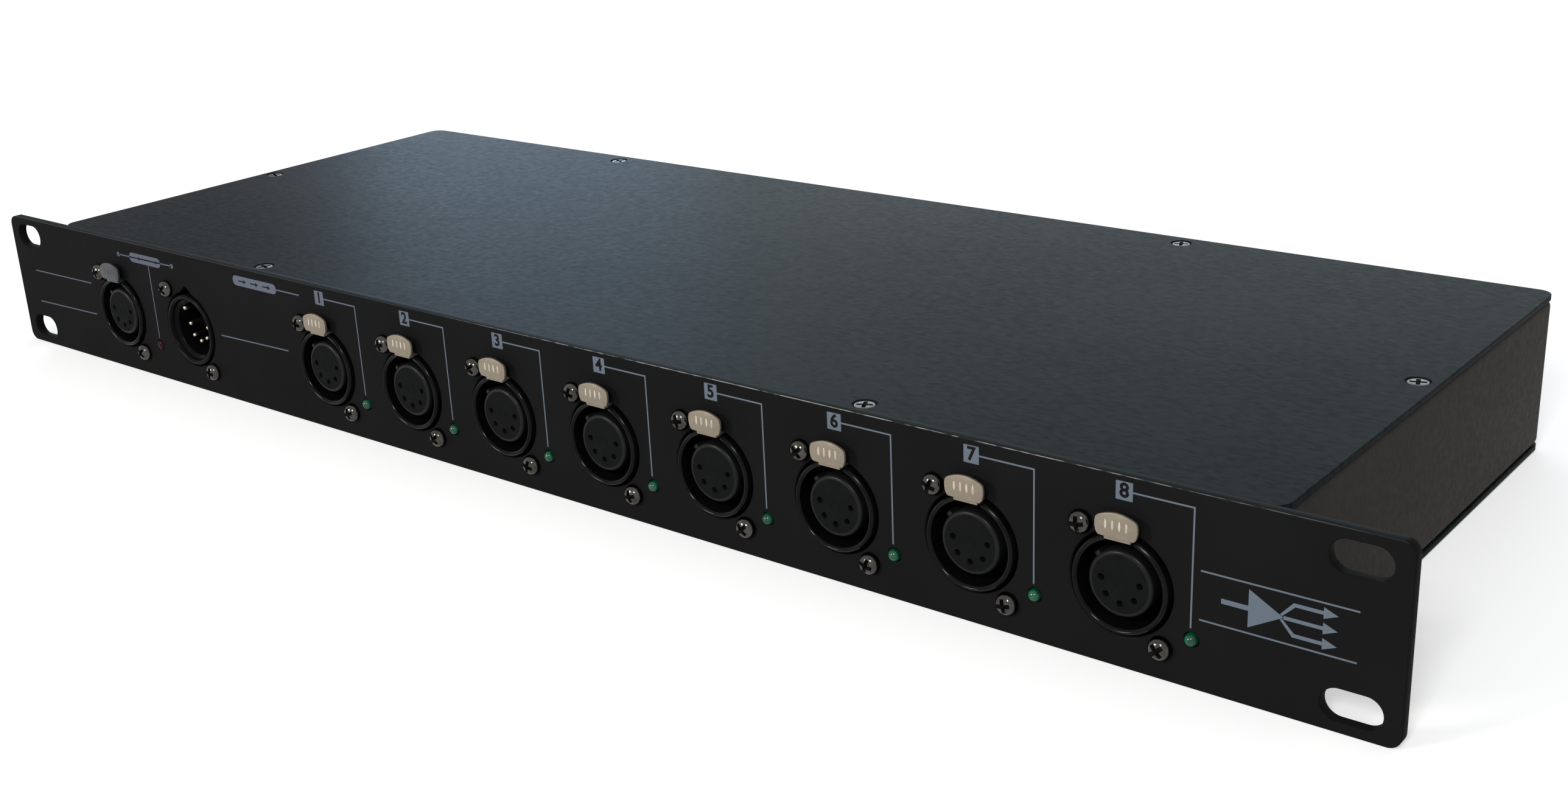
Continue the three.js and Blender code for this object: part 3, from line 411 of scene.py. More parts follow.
for output_x in OUTPUT_XS:
    square_x = output_x + SQUARE_ASIDE
    print_area(ink_shape, rounded_outline(SQUARE_WIDTH, SQUARE_HEIGHT, 0.15, square_x, SQUARE_Z, 3))
    lamp_line_x = output_x + LAMP_ASIDE - 0.25
    print_line(ink_shape, (square_x + SQUARE_WIDTH / 2, SQUARE_Z), (lamp_line_x + LINE_WIDTH / 2, SQUARE_Z))
    print_line(ink_shape, (lamp_line_x, SQUARE_Z - LINE_WIDTH / 2), (lamp_line_x, LAMP_Z + 2.6))
PILL_HEIGHT, PILL_CORNER, PILL_X, PILL_Z, LONG_PILL_X, LONG_PILL_Z = 3.1, 1.5, -163.5, 17.25, -107.2, 17.9
pill_line = ((-178.0, 17.2), (-149.0, 17.4))
for start, end in (
    ((198.6, 5.3), (231.5, 5.3)),
    ((198.6, -5.6), (231.5, -5.6)),
    ((-230.6, 4.1), (-197.2, 4.6)),
    ((-231.0, -6.8), (-197.0, -6.0)),
    ((-127.9, -1.4), (-94.9, -0.6)),
    pill_line,
    ((-162.0, 15.9), (-162.3, LAMP_Z + 2.4)),
    ((-97.0, LONG_PILL_Z), (-86.1, LONG_PILL_Z)),
):
    print_line(ink_shape, start, end)
for dot in pill_line:
    print_area(ink_shape, round_outline(0.75, *dot, 20))
print_area(ink_shape, rounded_outline(16.6, PILL_HEIGHT, PILL_CORNER, PILL_X, PILL_Z))
print_area(ink_shape, rounded_outline(20.8, PILL_HEIGHT, PILL_CORNER, LONG_PILL_X, LONG_PILL_Z))


def print_splitter_sign(bm, x, z):
    """One line into a triangle, and three arrows out of it: the plain sign for a splitter."""
    print_line(bm, (x - 12, z), (x - 6.2, z), 1.1)
    print_area(bm, [(x - 6.2, z - 4.2), (x + 1.2, z), (x - 6.2, z + 4.2)])
    for rise in (-3.3, 3.3):
        low, high = rise - rise / 8.25, rise + rise / 8.25
        bent = [(0.9, rise * 0.1), (3.5, low), (9.2, low), (9.2, high), (3.1, high), (0.4, rise * 0.17)]
        print_area(bm, [(x + u, z + v) for u, v in bent])
    print_line(bm, (x + 1.2, z), (x + 9.2, z), 0.8)
    for rise in (-3.3, 0.0, 3.3):
        print_area(bm, [(x + 9.2, z + rise - 1.25), (x + 12.2, z + rise), (x + 9.2, z + rise + 1.25)])


print_splitter_sign(ink_shape, 215.2, -0.15)
finished_piece("panel_print", ink_shape, pale_ink, "unit")

cutout_shape = bmesh.new()


def print_arrow(bm, x, z, length):
    tail, tip = x - length / 2, x + length / 2
    neck = tip - 1.2
    lower = [(tail, z - 0.18), (neck, z - 0.18), (neck, z - 0.65)]
    upper = [(neck, z + 0.65), (neck, z + 0.18), (tail, z + 0.18)]
    print_area(bm, [*lower, (tip, z), *upper], INK_DEPTH * 2)


for aside in (-4.5, 4.5):
    print_arrow(cutout_shape, PILL_X + aside, PILL_Z, 4.6)
for aside in (-5.8, 0.0, 5.8):
    print_arrow(cutout_shape, LONG_PILL_X + aside, LONG_PILL_Z, 3.6)
finished_piece("pill_arrows", cutout_shape, dark_ink, "unit")

stood_up_thin = Matrix.Rotation(math.radians(90), 4, "X") @ Matrix.Diagonal((1, 1, 0.1, 1))
for place, output_x in enumerate(OUTPUT_XS):
    numeral = bpy.data.curves.new(f"numeral_{place + 1}", "FONT")
    numeral.body = str(place + 1)
    numeral.size = 0.0044
    numeral.align_x = "CENTER"
    numeral.align_y = "CENTER"
    numeral.extrude = 0.00001
    numeral.offset = 0.00008
    numeral.bevel_depth = 0.00006
    numeral.bevel_resolution = 1
    numeral.materials.append(dark_ink)
    on_square = Matrix.Translation(spot(output_x + SQUARE_ASIDE, -INK_DEPTH - 0.01, SQUARE_Z))
    set_piece(numeral.name, numeral, "unit", on_square @ stood_up_thin)

# Chassis frame: 1.2 mm steel folded into four walls with inward flanges, welded at the rear
# corners and coated satin. Only its walls and rounded bends show between the two covers.
CHASSIS_WIDTH, CHASSIS_FRONT, CHASSIS_REAR, CHASSIS_CORNER = 428.0, 3.0, 167.0, 4.0
FRAME_TOP, FRAME_WALL, FRAME_FLANGE, FOLD_RADIUS = 19.83, 1.2, 12.0, 1.7
warm_coat = surface("warm_dark_coat", (0.033, 0.029, 0.0255), 0.55, specular=0.02)
vary_colour(warm_coat, (26, 3), (0.03, 0.0265, 0.023), (0.036, 0.032, 0.028))
coat_peel = speckle(warm_coat, 620, 3)
vary_roughness(warm_coat, coat_peel, 0.48, 0.6)
raise_grain(warm_coat, coat_peel, 0.3, 0.0001)
raise_grain(warm_coat, (2400, 2), 0.3, 0.00004)


def plan_ring(inset, corner, steps=8):
    middle = (CHASSIS_FRONT + CHASSIS_REAR) / 2
    depth = CHASSIS_REAR - CHASSIS_FRONT
    return rounded_outline(CHASSIS_WIDTH - 2 * inset, depth - 2 * inset, corner, 0, middle, steps)


def bend(rise, sign, radius=FOLD_RADIUS, steps=5):
    """Points of a rounded fold between a flange and a wall, as inset and height."""
    points = []
    for step in range(steps + 1):
        angle = math.radians(90 * step / steps)
        points.append((radius * (1 - math.sin(angle)), sign * (rise - radius * (1 - math.cos(angle)))))
    return points


def join_rings(bm, rings):
    """Faces between each ring of points and the next; a ring of one point makes triangles."""
    made = []
    for ring, after in zip(rings, rings[1:]):
        for i in range(max(len(ring), len(after))):
            corners = ((ring, i), (ring, i + 1), (after, i + 1), (after, i))
            made.append(bm.faces.new(list(dict.fromkeys(loop[k % len(loop)] for loop, k in corners))))
    return made


wall_shape = bmesh.new()
FRAME_INNER = FRAME_TOP - FRAME_WALL
wall_section = [(FRAME_FLANGE, FRAME_TOP), *bend(FRAME_TOP, 1), *bend(FRAME_TOP, -1)[::-1]]
wall_section += [(FRAME_FLANGE, -FRAME_TOP), (FRAME_FLANGE, -FRAME_INNER), (FRAME_WALL, -FRAME_INNER)]
wall_section += [(FRAME_WALL, FRAME_INNER), (FRAME_FLANGE, FRAME_INNER)]
section_rings = []
for inset, height in wall_section:
    plan = plan_ring(inset, max(CHASSIS_CORNER - inset, 0.6))
    section_rings.append([wall_shape.verts.new(spot(x, y, height)) for x, y in plan])
join_rings(wall_shape, section_rings + section_rings[:1])
bmesh.ops.recalc_face_normals(wall_shape, faces=wall_shape.faces[:])
chassis_walls = finished_piece("chassis_walls", wall_shape, warm_coat, "unit", smooth=40)
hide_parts("chassis_frame")

REAR_INLET_X, REAR_SWITCH_X = 160.0, 118.0


def block_between(bm, low, high, edge=0.0, steps=2, place=spot):
    """A box from its lowest to its highest corner, with its edges rounded by edge."""
    made = bmesh.ops.create_cube(bm, size=1)
    for vert in made["verts"]:
        vert.co = place(*[low[k] if vert.co[k] < 0 else high[k] for k in range(3)])
    faces = {face for vert in made["verts"] for face in vert.link_faces}
    bmesh.ops.recalc_face_normals(bm, faces=list(faces))
    if edge:
        edges = list({e for face in faces for e in face.edges})
        bmesh.ops.bevel(bm, geom=edges, offset=edge / 1000, segments=steps, profile=0.5, affect="EDGES")


def block_across(bm, middle, reach, depths, heights, edge=0.0, steps=2):
    """A box that reaches as far to the left of its middle as to the right."""
    (near, far), (low, high) = depths, heights
    block_between(bm, (middle - reach, near, low), (middle + reach, far, high), edge, steps)


def cut_away(piece, cutter_shape):
    """Cuts a closed shape out of a piece's mesh and removes the cutter."""
    mesh = mesh_of(cutter_shape, "cutter")
    cutter = new_object("cutter", mesh)
    change = piece.modifiers.new("cut", "BOOLEAN")
    change.operation = "DIFFERENCE"
    change.solver = "EXACT"
    change.object = cutter
    graph = bpy.context.evaluated_depsgraph_get()
    carved = bpy.data.meshes.new_from_object(piece.evaluated_get(graph))
    piece.modifiers.clear()
    old_mesh = piece.data
    carved.name = piece.name
    piece.data = carved
    bpy.data.objects.remove(cutter)
    bpy.data.meshes.remove(mesh)
    bpy.data.meshes.remove(old_mesh)


wall_cuts = bmesh.new()
FRONT_CUT, REAR_CUT = (CHASSIS_FRONT - 1.5, CHASSIS_FRONT + 3.5), (CHASSIS_REAR - 3, CHASSIS_REAR + 2)
for socket_x in SOCKET_XS:
    block_across(wall_cuts, socket_x, 11.9, FRONT_CUT, (SOCKET_Z - 14.2, SOCKET_Z + 14.2))
for lamp_x in LAMP_XS:
    block_across(wall_cuts, lamp_x, 1.7, FRONT_CUT, (LAMP_Z - 1.7, LAMP_Z + 1.7))
block_across(wall_cuts, REAR_INLET_X, 13.6, REAR_CUT, (-14.8, 14.8))
block_across(wall_cuts, REAR_SWITCH_X, 6.6, REAR_CUT, (-9.6, 9.6))
cut_away(chassis_walls, wall_cuts)

# Covers: 1.45 mm steel sheets with rounded corners and lightly broken edges, screwed down on
# the flanges. The slate grey powder has a fine orange-peel skin that catches light from behind.
COVER_TOP, COVER_THICKNESS, COVER_GAP = 21.33, 1.45, 0.3
slate_coat = surface("slate_orange_peel", (0.012, 0.0155, 0.0175), 0.3, specular=0.003)
slate_cloud = mixed_pattern(slate_coat, (14, 4), (330, 4, (1, 2.4, 1)), 0.65)
vary_colour(slate_coat, slate_cloud, (0.0082, 0.0108, 0.0123), (0.0154, 0.0197, 0.0221), 0.42, 0.58)
slate_peel = speckle(slate_coat, 520, 3)
vary_roughness(slate_coat, slate_peel, 0.28, 0.36)
raise_grain(slate_coat, slate_peel, 0.28, 0.00011)
raise_grain(slate_coat, (2300, 2), 0.35, 0.00005)

COVER_SCREWS = [(-111, 7), (111, 7), (-111, 161.5), (111, 161.5), (-209.2, 85), (209.2, 85)]


def cover_sheet(name, sign):
    """One cover; sign is 1 for the upper one and -1 for the lower one."""
    front = CHASSIS_FRONT + COVER_GAP
    middle, length = (front + CHASSIS_REAR) / 2, CHASSIS_REAR - front
    plan = rounded_outline(CHASSIS_WIDTH, length, CHASSIS_CORNER, 0, middle, 10)
    holes = [round_outline(3.0, x, y, 40) for x, y in COVER_SCREWS]
    shape = bmesh.new()
    outer, inner = sign * COVER_TOP, sign * (COVER_TOP - COVER_THICKNESS)
    punched_plate(shape, [plan, *holes], outer, inner, 0.3, spot, 3)
    for x, y in COVER_SCREWS:
        rings = []
        for radius, depth in ((2.98, 0.12), (1.8, 1.3), (2.1, 1.42), (3.1, 0.5)):
            height = sign * (COVER_TOP - depth)
            rings.append([shape.verts.new(spot(u, v, height)) for u, v in round_outline(radius, x, y, 40)])
        for face in join_rings(shape, rings + rings[:1]):
            face.smooth = True
    bmesh.ops.recalc_face_normals(shape, faces=shape.faces[:])
    return finished_piece(name, shape, slate_coat, "unit")


upper_cover = cover_sheet("upper_cover", 1)
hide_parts("top_cover")
lower_cover = cover_sheet("lower_cover", -1)
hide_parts("bottom_cover")

# Cover screws: M3 countersunk steel screws with a cross recess, nickel plated and a little dull.
# Each is driven flush with the sheet, and no two recesses stop at the same angle.
dull_nickel = surface("dull_nickel", (0.08, 0.08, 0.074), 0.34, metallic=0.3, specular=0.05)
vary_colour(dull_nickel, (500, 4), (0.06, 0.06, 0.055), (0.11, 0.11, 0.102))
vary_roughness(dull_nickel, (1400, 3), 0.26, 0.44)
raise_grain(dull_nickel, (3000, 2), 0.15, 0.00003)


def turned_shape(profile, sides=48, joined=False, place=None):
    """A closed shape: a profile of radius and depth in millimetres turned about +Y, then placed."""
    bm = bmesh.new()
    rings = []
    for radius, depth in profile:
        outline = round_outline(radius, sides=sides) if radius else [(0, 0)]
        rings.append([bm.verts.new((u / 1000, depth / 1000, v / 1000)) for u, v in outline])
    join_rings(bm, rings + rings[:1] if joined else rings)
    bmesh.ops.recalc_face_normals(bm, faces=bm.faces[:])
    bmesh.ops.transform(bm, matrix=place or Matrix.Identity(4), verts=bm.verts[:])
    return bm


def recess_wing(turn, middle, depth, reach, width):
    """One of the two crossed wedges of a driver's point, which narrows towards the bottom."""
    shape = bmesh.new()
    top = [(-reach, -width), (reach, -width), (reach, width), (-reach, width)]
    low = [(u * 0.42, v * 0.7) for u, v in top]
    spin = Matrix.Rotation(math.radians(turn), 3, "Y")
    upper = [shape.verts.new(spin @ Vector((u, middle - 3.0, v)) / 1000) for u, v in top]
    mouth = [shape.verts.new(spin @ Vector((u, middle, v)) / 1000) for u, v in top]
    lower = [shape.verts.new(spin @ Vector((u, middle + depth, v)) / 1000) for u, v in low]
    join_rings(shape, [upper, mouth, lower])
    shape.faces.new(upper[::-1])
    shape.faces.new(lower)
    # The wedge's faces take slot 1, which holds the recess's painted shade.
    for face in shape.faces:
        face.material_index = 1
    bmesh.ops.recalc_face_normals(shape, faces=shape.faces[:])
    return shape


# Painted shade: the inside of each cross recess is coloured near black, standing for the shade that falls in
# it.
recess_painted_shade = surface("recess_painted_shade", (0.007, 0.0065, 0.006), 0.5, specular=0.06)
vary_colour(recess_painted_shade, (900, 3), (0.004, 0.0038, 0.0035), (0.012, 0.011, 0.01))
raise_grain(recess_painted_shade, (2600, 2), 0.3, 0.00003)


def cut_mesh(mesh, *cutters):
    """Cuts closed shapes out of a mesh that several pieces share."""
    blank = new_object(mesh.name, mesh)
    for cutter in cutters:
        cut_away(blank, cutter)
    carved = blank.data
    bpy.data.objects.remove(blank)
    return carved


def screw_mesh(name, profile, face_depth, recess, material):
    """A turned screw with its recess cut; face_depth is how far back the middle of its face lies."""
    mesh = mesh_of(turned_shape(profile), name, material, recess_painted_shade)
    return smooth_mesh(cut_mesh(mesh, *[recess_wing(turn, face_depth, *recess) for turn in (0, 90)]), 30)


SCREW_RADIUS = 1.3


def countersunk_screw(name, length):
    head = [(0, 0), (2.1, 0), (2.42, 0.05), (2.53, 0.17), (SCREW_RADIUS, 1.25)]
    profile = [*head, (SCREW_RADIUS, length), (0, length)]
    return screw_mesh(name, profile, 0.0, (1.3, 1.95, 0.5), dull_nickel)


def set_screw(name, mesh, place, turn, facing=Matrix.Identity(4)):
    """Puts a copy of a screw in place; its face looks along -Y unless facing says otherwise."""
    spin = Matrix.Rotation(math.radians(turn), 4, "Y")
    return set_piece(name, mesh, "unit", Matrix.Translation(place) @ facing @ spin)


looks_up = Matrix.Rotation(math.radians(-90), 4, "X")
looks_down = Matrix.Rotation(math.radians(90), 4, "X")
SCREW_TOP = COVER_TOP - 0.2
countersunk = countersunk_screw("countersunk_screw", 4.9)
for count, (x, y) in enumerate(COVER_SCREWS):
    screw_place = spot(x, y, SCREW_TOP)
    seated = set_screw(f"top_screw_{count + 1}", countersunk, screw_place, 17 + 47 * count, looks_up)
    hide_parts(f"cover_screw_{count + 1}")
stub = countersunk_screw("countersunk_stub", 2.9)
for count, (x, y) in enumerate(COVER_SCREWS):
    set_screw(f"bottom_screw_{count + 1}", stub, spot(x, y, -SCREW_TOP), 31 + 53 * count, looks_down)

# Socket screws: pan head cross-recess screws in dark nickel, two to each connector, one above on
# the left and one below on the right. Their domed heads stand more than two millimetres proud.
dark_nickel = surface("dark_nickel", (0.07, 0.066, 0.059), 0.14, metallic=1.0)
vary_colour(dark_nickel, (420, 4), (0.05, 0.046, 0.04), (0.09, 0.086, 0.079))
vary_roughness(dark_nickel, (1300, 3), 0.09, 0.2)
raise_grain(dark_nickel, (2600, 2), 0.12, 0.00003)
pan_dome = [(0, -2.38), (0.9, -2.33), (1.6, -2.13), (2.15, -1.75), (2.5, -1.2), (2.68, -0.6)]
pan_profile = [*pan_dome, (2.72, -0.25), (2.68, 0), (SCREW_RADIUS, 0.02), (SCREW_RADIUS, 6.0), (0, 6.0)]
pan_head = screw_mesh("pan_head_screw", pan_profile, -2.3, (1.6, 1.85, 0.52), dark_nickel)
SCREW_ASIDE, SCREW_DROP = 9.5, 12.0
for count, socket_x in enumerate(SOCKET_XS):
    for side in (-1, 1):
        place = spot(socket_x + side * SCREW_ASIDE, 0, SOCKET_Z - side * SCREW_DROP)
        set_screw(f"socket_screw_{count + 1}_{'ab'[side > 0]}", pan_head, place, 11 + 61 * count + 29 * side)

# Socket shells: each is a glossy black moulding that comes through the panel from behind. Its
# rounded rim stands a millimetre proud of the hole, and a deep groove runs inside the rim.
gloss_black = surface("gloss_black", (0.003, 0.003, 0.0034), 0.16, specular=0.08)
vary_colour(gloss_black, (160, 3), (0.0022, 0.0022, 0.0026), (0.004, 0.004, 0.0044))
vary_roughness(gloss_black, (700, 4), 0.08, 0.2)
raise_grain(gloss_black, (1100, 3), 0.12, 0.00003)

shell_rim = [(9.9, -0.5), (9.92, -0.72), (10.02, -0.9), (10.3, -1.13), (10.48, -1.24), (10.6, -1.26)]
shell_rim += [(10.75, -1.2), (10.95, -1.02), (11.1, -0.92), (11.22, -0.72), (11.28, -0.45)]
BARREL = [(11.3, 0.0), (11.3, 3.9), (12.7, 4.25), (12.7, 6.1), (11.3, 6.2), (11.3, 21.9)]


def at_socket(x, y, z):
    """A point in millimetres from the middle of a socket, for the meshes that the sockets share."""
    return Vector((x, y, z)) / 1000


latch_way = bmesh.new()
block_between(latch_way, (-3.4, -2.3, 8.2), (3.4, 13.7, 11.6), place=at_socket)
shell_shape = turned_shape([*shell_rim, *BARREL, (9.9, 21.9)], 96, joined=True)
shell_mesh = cut_mesh(mesh_of(shell_shape, "socket_shell"), latch_way)
shell_mesh.materials.append(gloss_black)
smooth_mesh(shell_mesh, 35)


def flange_and_foot(name, socket_x):
    """The parts of a shell behind the panel: its flange, and its foot on the board."""
    shape = bmesh.new()
    outline = rounded_outline(26, 31, 3, socket_x, SOCKET_Z, 5)
    hole = round_outline(11.2, socket_x, SOCKET_Z, 48)
    punched_plate(shape, [outline, hole], 4.25, 6.15, 0.2)
    block_across(shape, socket_x, 5.6, (6.3, 20.1), (SOCKET_Z - 12.9, SOCKET_Z - 10.2), 0.3)
    return finished_piece(name, shape, gloss_black, "unit")


def set_socket_piece(name, mesh, socket_x, body="unit"):
    return set_piece(name, mesh, body, Matrix.Translation(spot(socket_x, 0, SOCKET_Z)))


SOCKETS = [("through", THROUGH_X)] + [(f"output_{place + 1}", x) for place, x in enumerate(OUTPUT_XS)]
for socket_name, socket_x in SOCKETS:
    ring = set_socket_piece(f"{socket_name}_rim", shell_mesh, socket_x)
    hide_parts(f"{socket_name}_shell")
    flange_and_foot(f"{socket_name}_flange", socket_x)

# Contact inserts: matt black mouldings with five contact holes on a circle, a key at the upper
# left and a rounded front edge. Gold-plated sleeves sit a little way down in the holes.
CONTACT_CIRCLE = 4.5
CONTACT_TURNS = [math.radians(turn) for turn in (-97, -47, 0, 47, 97)]
CONTACTS = [(CONTACT_CIRCLE * math.sin(turn), -CONTACT_CIRCLE * math.cos(turn)) for turn in CONTACT_TURNS]
matt_black = surface("matt_black", (0.0076, 0.0079, 0.0082), 0.5, specular=0.01)
vary_colour(matt_black, (220, 3), (0.0062, 0.0065, 0.0068), (0.0082, 0.0085, 0.0088))
vary_roughness(matt_black, (1500, 3), 0.42, 0.58)
raise_grain(matt_black, (3200, 2), 0.3, 0.00004)


def add_to(bm, part):
    """Takes a shape into another one, and frees it."""
    mesh = mesh_of(part, "part")
    bm.from_mesh(mesh)
    bpy.data.meshes.remove(mesh)


insert_face = [(0, -0.38), (6.6, -0.38), (7.05, -0.32), (7.38, -0.12), (7.55, 0.2), (7.6, 0.6)]
insert_shape = turned_shape([*insert_face, (7.6, 13.8), (9.7, 14.0), (9.7, 20.0), (0, 20.0)], 96)
hole_profile = [(0, -2), (0.86, -2), (0.86, -0.37), (0.72, -0.2), (0.72, 8.5), (0, 8.5)]
drilled = bmesh.new()
for u, v in CONTACTS:
    add_to(drilled, turned_shape(hole_profile, 32, place=Matrix.Translation(at_socket(u, 0, v))))
insert_mesh = cut_mesh(mesh_of(insert_shape, "contact_insert"), drilled)
insert_details = bmesh.new()
insert_details.from_mesh(insert_mesh)
ring_profile = [(1.11, -0.3), (1.11, -0.43), (1.39, -0.43), (1.39, -0.3)]
add_to(insert_details, turned_shape(ring_profile, 40, joined=True))
key_turn = Matrix.Rotation(math.radians(-45), 3, "Y")


def on_key(x, y, z):
    return key_turn @ at_socket(x, y, z)


block_between(insert_details, (-0.65, 0, 6.65), (0.65, 13.8, 8.45), 0.3, 3, on_key)
insert_details.to_mesh(insert_mesh)
insert_details.free()
insert_mesh.materials.clear()
insert_mesh.materials.append(matt_black)
satin_black = surface("satin_black_edge", (0.007, 0.0073, 0.0076), 0.3, specular=0.11)
vary_colour(satin_black, (220, 3), (0.006, 0.0063, 0.0066), (0.008, 0.0083, 0.0086))
vary_roughness(satin_black, (1500, 3), 0.24, 0.38)
insert_mesh.materials.append(satin_black)
for face in insert_mesh.polygons:
    if 0.0067 < math.hypot(face.center.x, face.center.z) < 0.0078 and face.center.y < 0.0003:
        face.material_index = 1
smooth_mesh(insert_mesh, 35)

contact_gold = surface("contact_gold", (0.85, 0.6, 0.28), 0.2, metallic=1.0)
vary_colour(contact_gold, (900, 3), (0.75, 0.5, 0.22), (0.92, 0.7, 0.38))
vary_roughness(contact_gold, (1800, 2), 0.15, 0.3)
sleeve_profile = [(0.46, 3.0), (0.46, 8.3), (0.7, 8.3), (0.7, 3.0), (0.58, 2.8)]
sleeve_shape = bmesh.new()
for u, v in CONTACTS:
    sleeve_place = Matrix.Translation(at_socket(u, 0, v))
    add_to(sleeve_shape, turned_shape(sleeve_profile, 24, joined=True, place=sleeve_place))
sleeve_mesh = mesh_of(sleeve_shape, "contact_sleeves", contact_gold, smooth=40)
for socket_name, socket_x in SOCKETS:
    face = set_socket_piece(f"{socket_name}_face", insert_mesh, socket_x)
    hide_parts(f"{socket_name}_insert")
    set_socket_piece(f"{socket_name}_sleeves", sleeve_mesh, socket_x)

# Push latches: stamped nickel-plated steel, satin and a little warm; on the through socket painted shade
# colours the latch darker.
# Each has a bowed tab with plain raised ribs for the thumb, and an arm that runs back to a hook.
warm_nickel = surface("warm_nickel", (0.228, 0.194, 0.15), 0.4, metallic=0.45, specular=0.1)
vary_colour(warm_nickel, (300, 4), (0.203, 0.172, 0.132), (0.252, 0.216, 0.168))
# Painted shade: a much darker copy of the latch's nickel, standing for the shade the through socket's latch
# lies in.
through_latch_painted_shade = surface("through_latch_painted_shade", (0.06, 0.064, 0.069), 0.4, metallic=0.45, specular=0.1)
vary_colour(through_latch_painted_shade, (300, 4), (0.045, 0.048, 0.053), (0.078, 0.082, 0.088))
for plate in (warm_nickel, through_latch_painted_shade):
    vary_roughness(plate, (900, 4, (1, 1, 6)), 0.3, 0.46)
    raise_grain(plate, (1600, 3, (1, 1, 5)), 0.18, 0.00003)
half_tab = [(0, 11.25), (3.0, 11.26), (4.0, 11.31), (4.42, 11.6), (4.75, 12.25), (4.95, 13.25), (4.97, 14.35)]
half_tab += [(4.8, 15.2), (4.4, 15.65), (3.7, 16.0), (2.6, 16.4), (1.3, 16.7), (0, 16.8)]
tab_outline = half_tab + [(-u, v) for u, v in half_tab[-2:0:-1]]
latch_shape = bmesh.new()
punched_plate(latch_shape, [tab_outline], -2.72, -1.96, 0.25, lambda u, v, depth: at_socket(u, depth, v), 3)
for rib_x in (-2.4, -0.8, 0.8, 2.4):
    rib = bmesh.ops.create_icosphere(latch_shape, subdivisions=3, radius=1)
    for vert in rib["verts"]:
        vert.co = at_socket(rib_x + vert.co.x * 0.3, -2.7 + vert.co.y * 0.1, 14.0 + vert.co.z * 1.1)
    for face in {face for vert in rib["verts"] for face in vert.link_faces}:
        face.material_index = 1
for low, high in (((-3.05, -2.1, 10.35), (3.05, 12.6, 11.25)), ((-1.5, 10.6, 8.9), (1.5, 12.6, 10.6))):
    block_between(latch_shape, low, high, 0.15, place=at_socket)
rubbed_nickel = surface("rubbed_nickel", (0.5, 0.43, 0.34), 0.22, metallic=0.9)
vary_colour(rubbed_nickel, (700, 3), (0.42, 0.36, 0.28), (0.6, 0.53, 0.43))
vary_roughness(rubbed_nickel, (1500, 2), 0.16, 0.3)
latch_mesh = mesh_of(latch_shape, "push_latch", warm_nickel, rubbed_nickel, smooth=40)
# Painted shade: the through socket's latch, tab and ribs alike, takes the darker copy.
painted_shade_latch_mesh = latch_mesh.copy()
painted_shade_latch_mesh.materials[0] = painted_shade_latch_mesh.materials[1] = through_latch_painted_shade
for socket_name, socket_x in SOCKETS:
    mesh = painted_shade_latch_mesh if socket_name == "through" else latch_mesh
    tab = set_socket_piece(f"{socket_name}_tab", mesh, socket_x, f"{socket_name}_latch_body")
    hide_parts(f"{socket_name}_latch")

# Input connector: a shallow glossy rim round a deep cup, with five plated pins on a circle and an
# earth contact against the wall at the upper left. It has no latch.
input_place = Matrix.Translation(spot(INPUT_X, 0, SOCKET_Z))
cup_rim = [(8.4, 1.9), (8.46, 1.6), (8.7, 1.35), (9.1, 1.1), (9.55, 0.75), (9.75, 0.1), (9.95, -0.35)]
cup_rim += [(10.25, -0.58), (10.6, -0.62), (10.95, -0.52), (11.2, -0.3)]
cup_shape = turned_shape([*cup_rim, *BARREL, (8.4, 21.9)], 96, joined=True, place=input_place)
cup_black = surface("cup_black", (0.0035, 0.0035, 0.0039), 0.18, specular=0.035)
vary_colour(cup_black, (160, 3), (0.0026, 0.0026, 0.003), (0.0045, 0.0045, 0.005))
vary_roughness(cup_black, (700, 4), 0.12, 0.26)
input_cup = finished_piece("input_cup", cup_shape, cup_black, "unit", smooth=35)
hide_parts("input_shell")
flange_and_foot("input_flange", INPUT_X)

base_profile = [(0, 12.0), (7.7, 12.0), (8.05, 12.3), (8.05, 20.0), (0, 20.0)]
base_shape = turned_shape(base_profile, 64, place=input_place)
input_base = finished_piece("input_base", base_shape, matt_black, "unit", smooth=35)
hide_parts("input_insert")

pin_profile = [(0, 2.62), (0.3, 2.66), (0.55, 2.84), (0.68, 3.15), (0.7, 3.6), (0.7, 12.5), (0, 12.5)]
earth_profile = [(0, 2.0), (0.35, 2.05), (0.65, 2.3), (0.78, 2.7), (0.8, 3.2), (0.8, 12.3), (0, 12.3)]
pin_shape = bmesh.new()
for profile, u, v in [(pin_profile, -u, v) for u, v in CONTACTS] + [(earth_profile, -5.55, 5.6)]:
    pin_place = Matrix.Translation(spot(INPUT_X + u, 0, SOCKET_Z + v))
    add_to(pin_shape, turned_shape(profile, 28, place=pin_place))
pin_plate = surface("pin_plate", (0.5, 0.44, 0.35), 0.3, metallic=1.0)
vary_colour(pin_plate, (900, 3), (0.42, 0.36, 0.28), (0.58, 0.52, 0.43))
vary_roughness(pin_plate, (1800, 2), 0.24, 0.4)
# Painted shade: the pins' shafts, deep in the cup, are coloured a much darker copy of the plating, standing
# for the shade there.
pin_shaft_painted_shade = surface("pin_shaft_painted_shade", (0.09, 0.075, 0.05), 0.4, metallic=1.0)
vary_colour(pin_shaft_painted_shade, (900, 3), (0.06, 0.05, 0.033), (0.12, 0.1, 0.068))
input_pins = finished_piece("input_pins", pin_shape, pin_plate, "unit", smooth=40)
input_pins.data.materials.append(pin_shaft_painted_shade)
PIN_TIP_END = 3.4
# Faces behind the pin tips take the painted shade in slot 1.
for face in input_pins.data.polygons:
    if face.center.y > spot(0, PIN_TIP_END, 0).y:
        face.material_index = 1

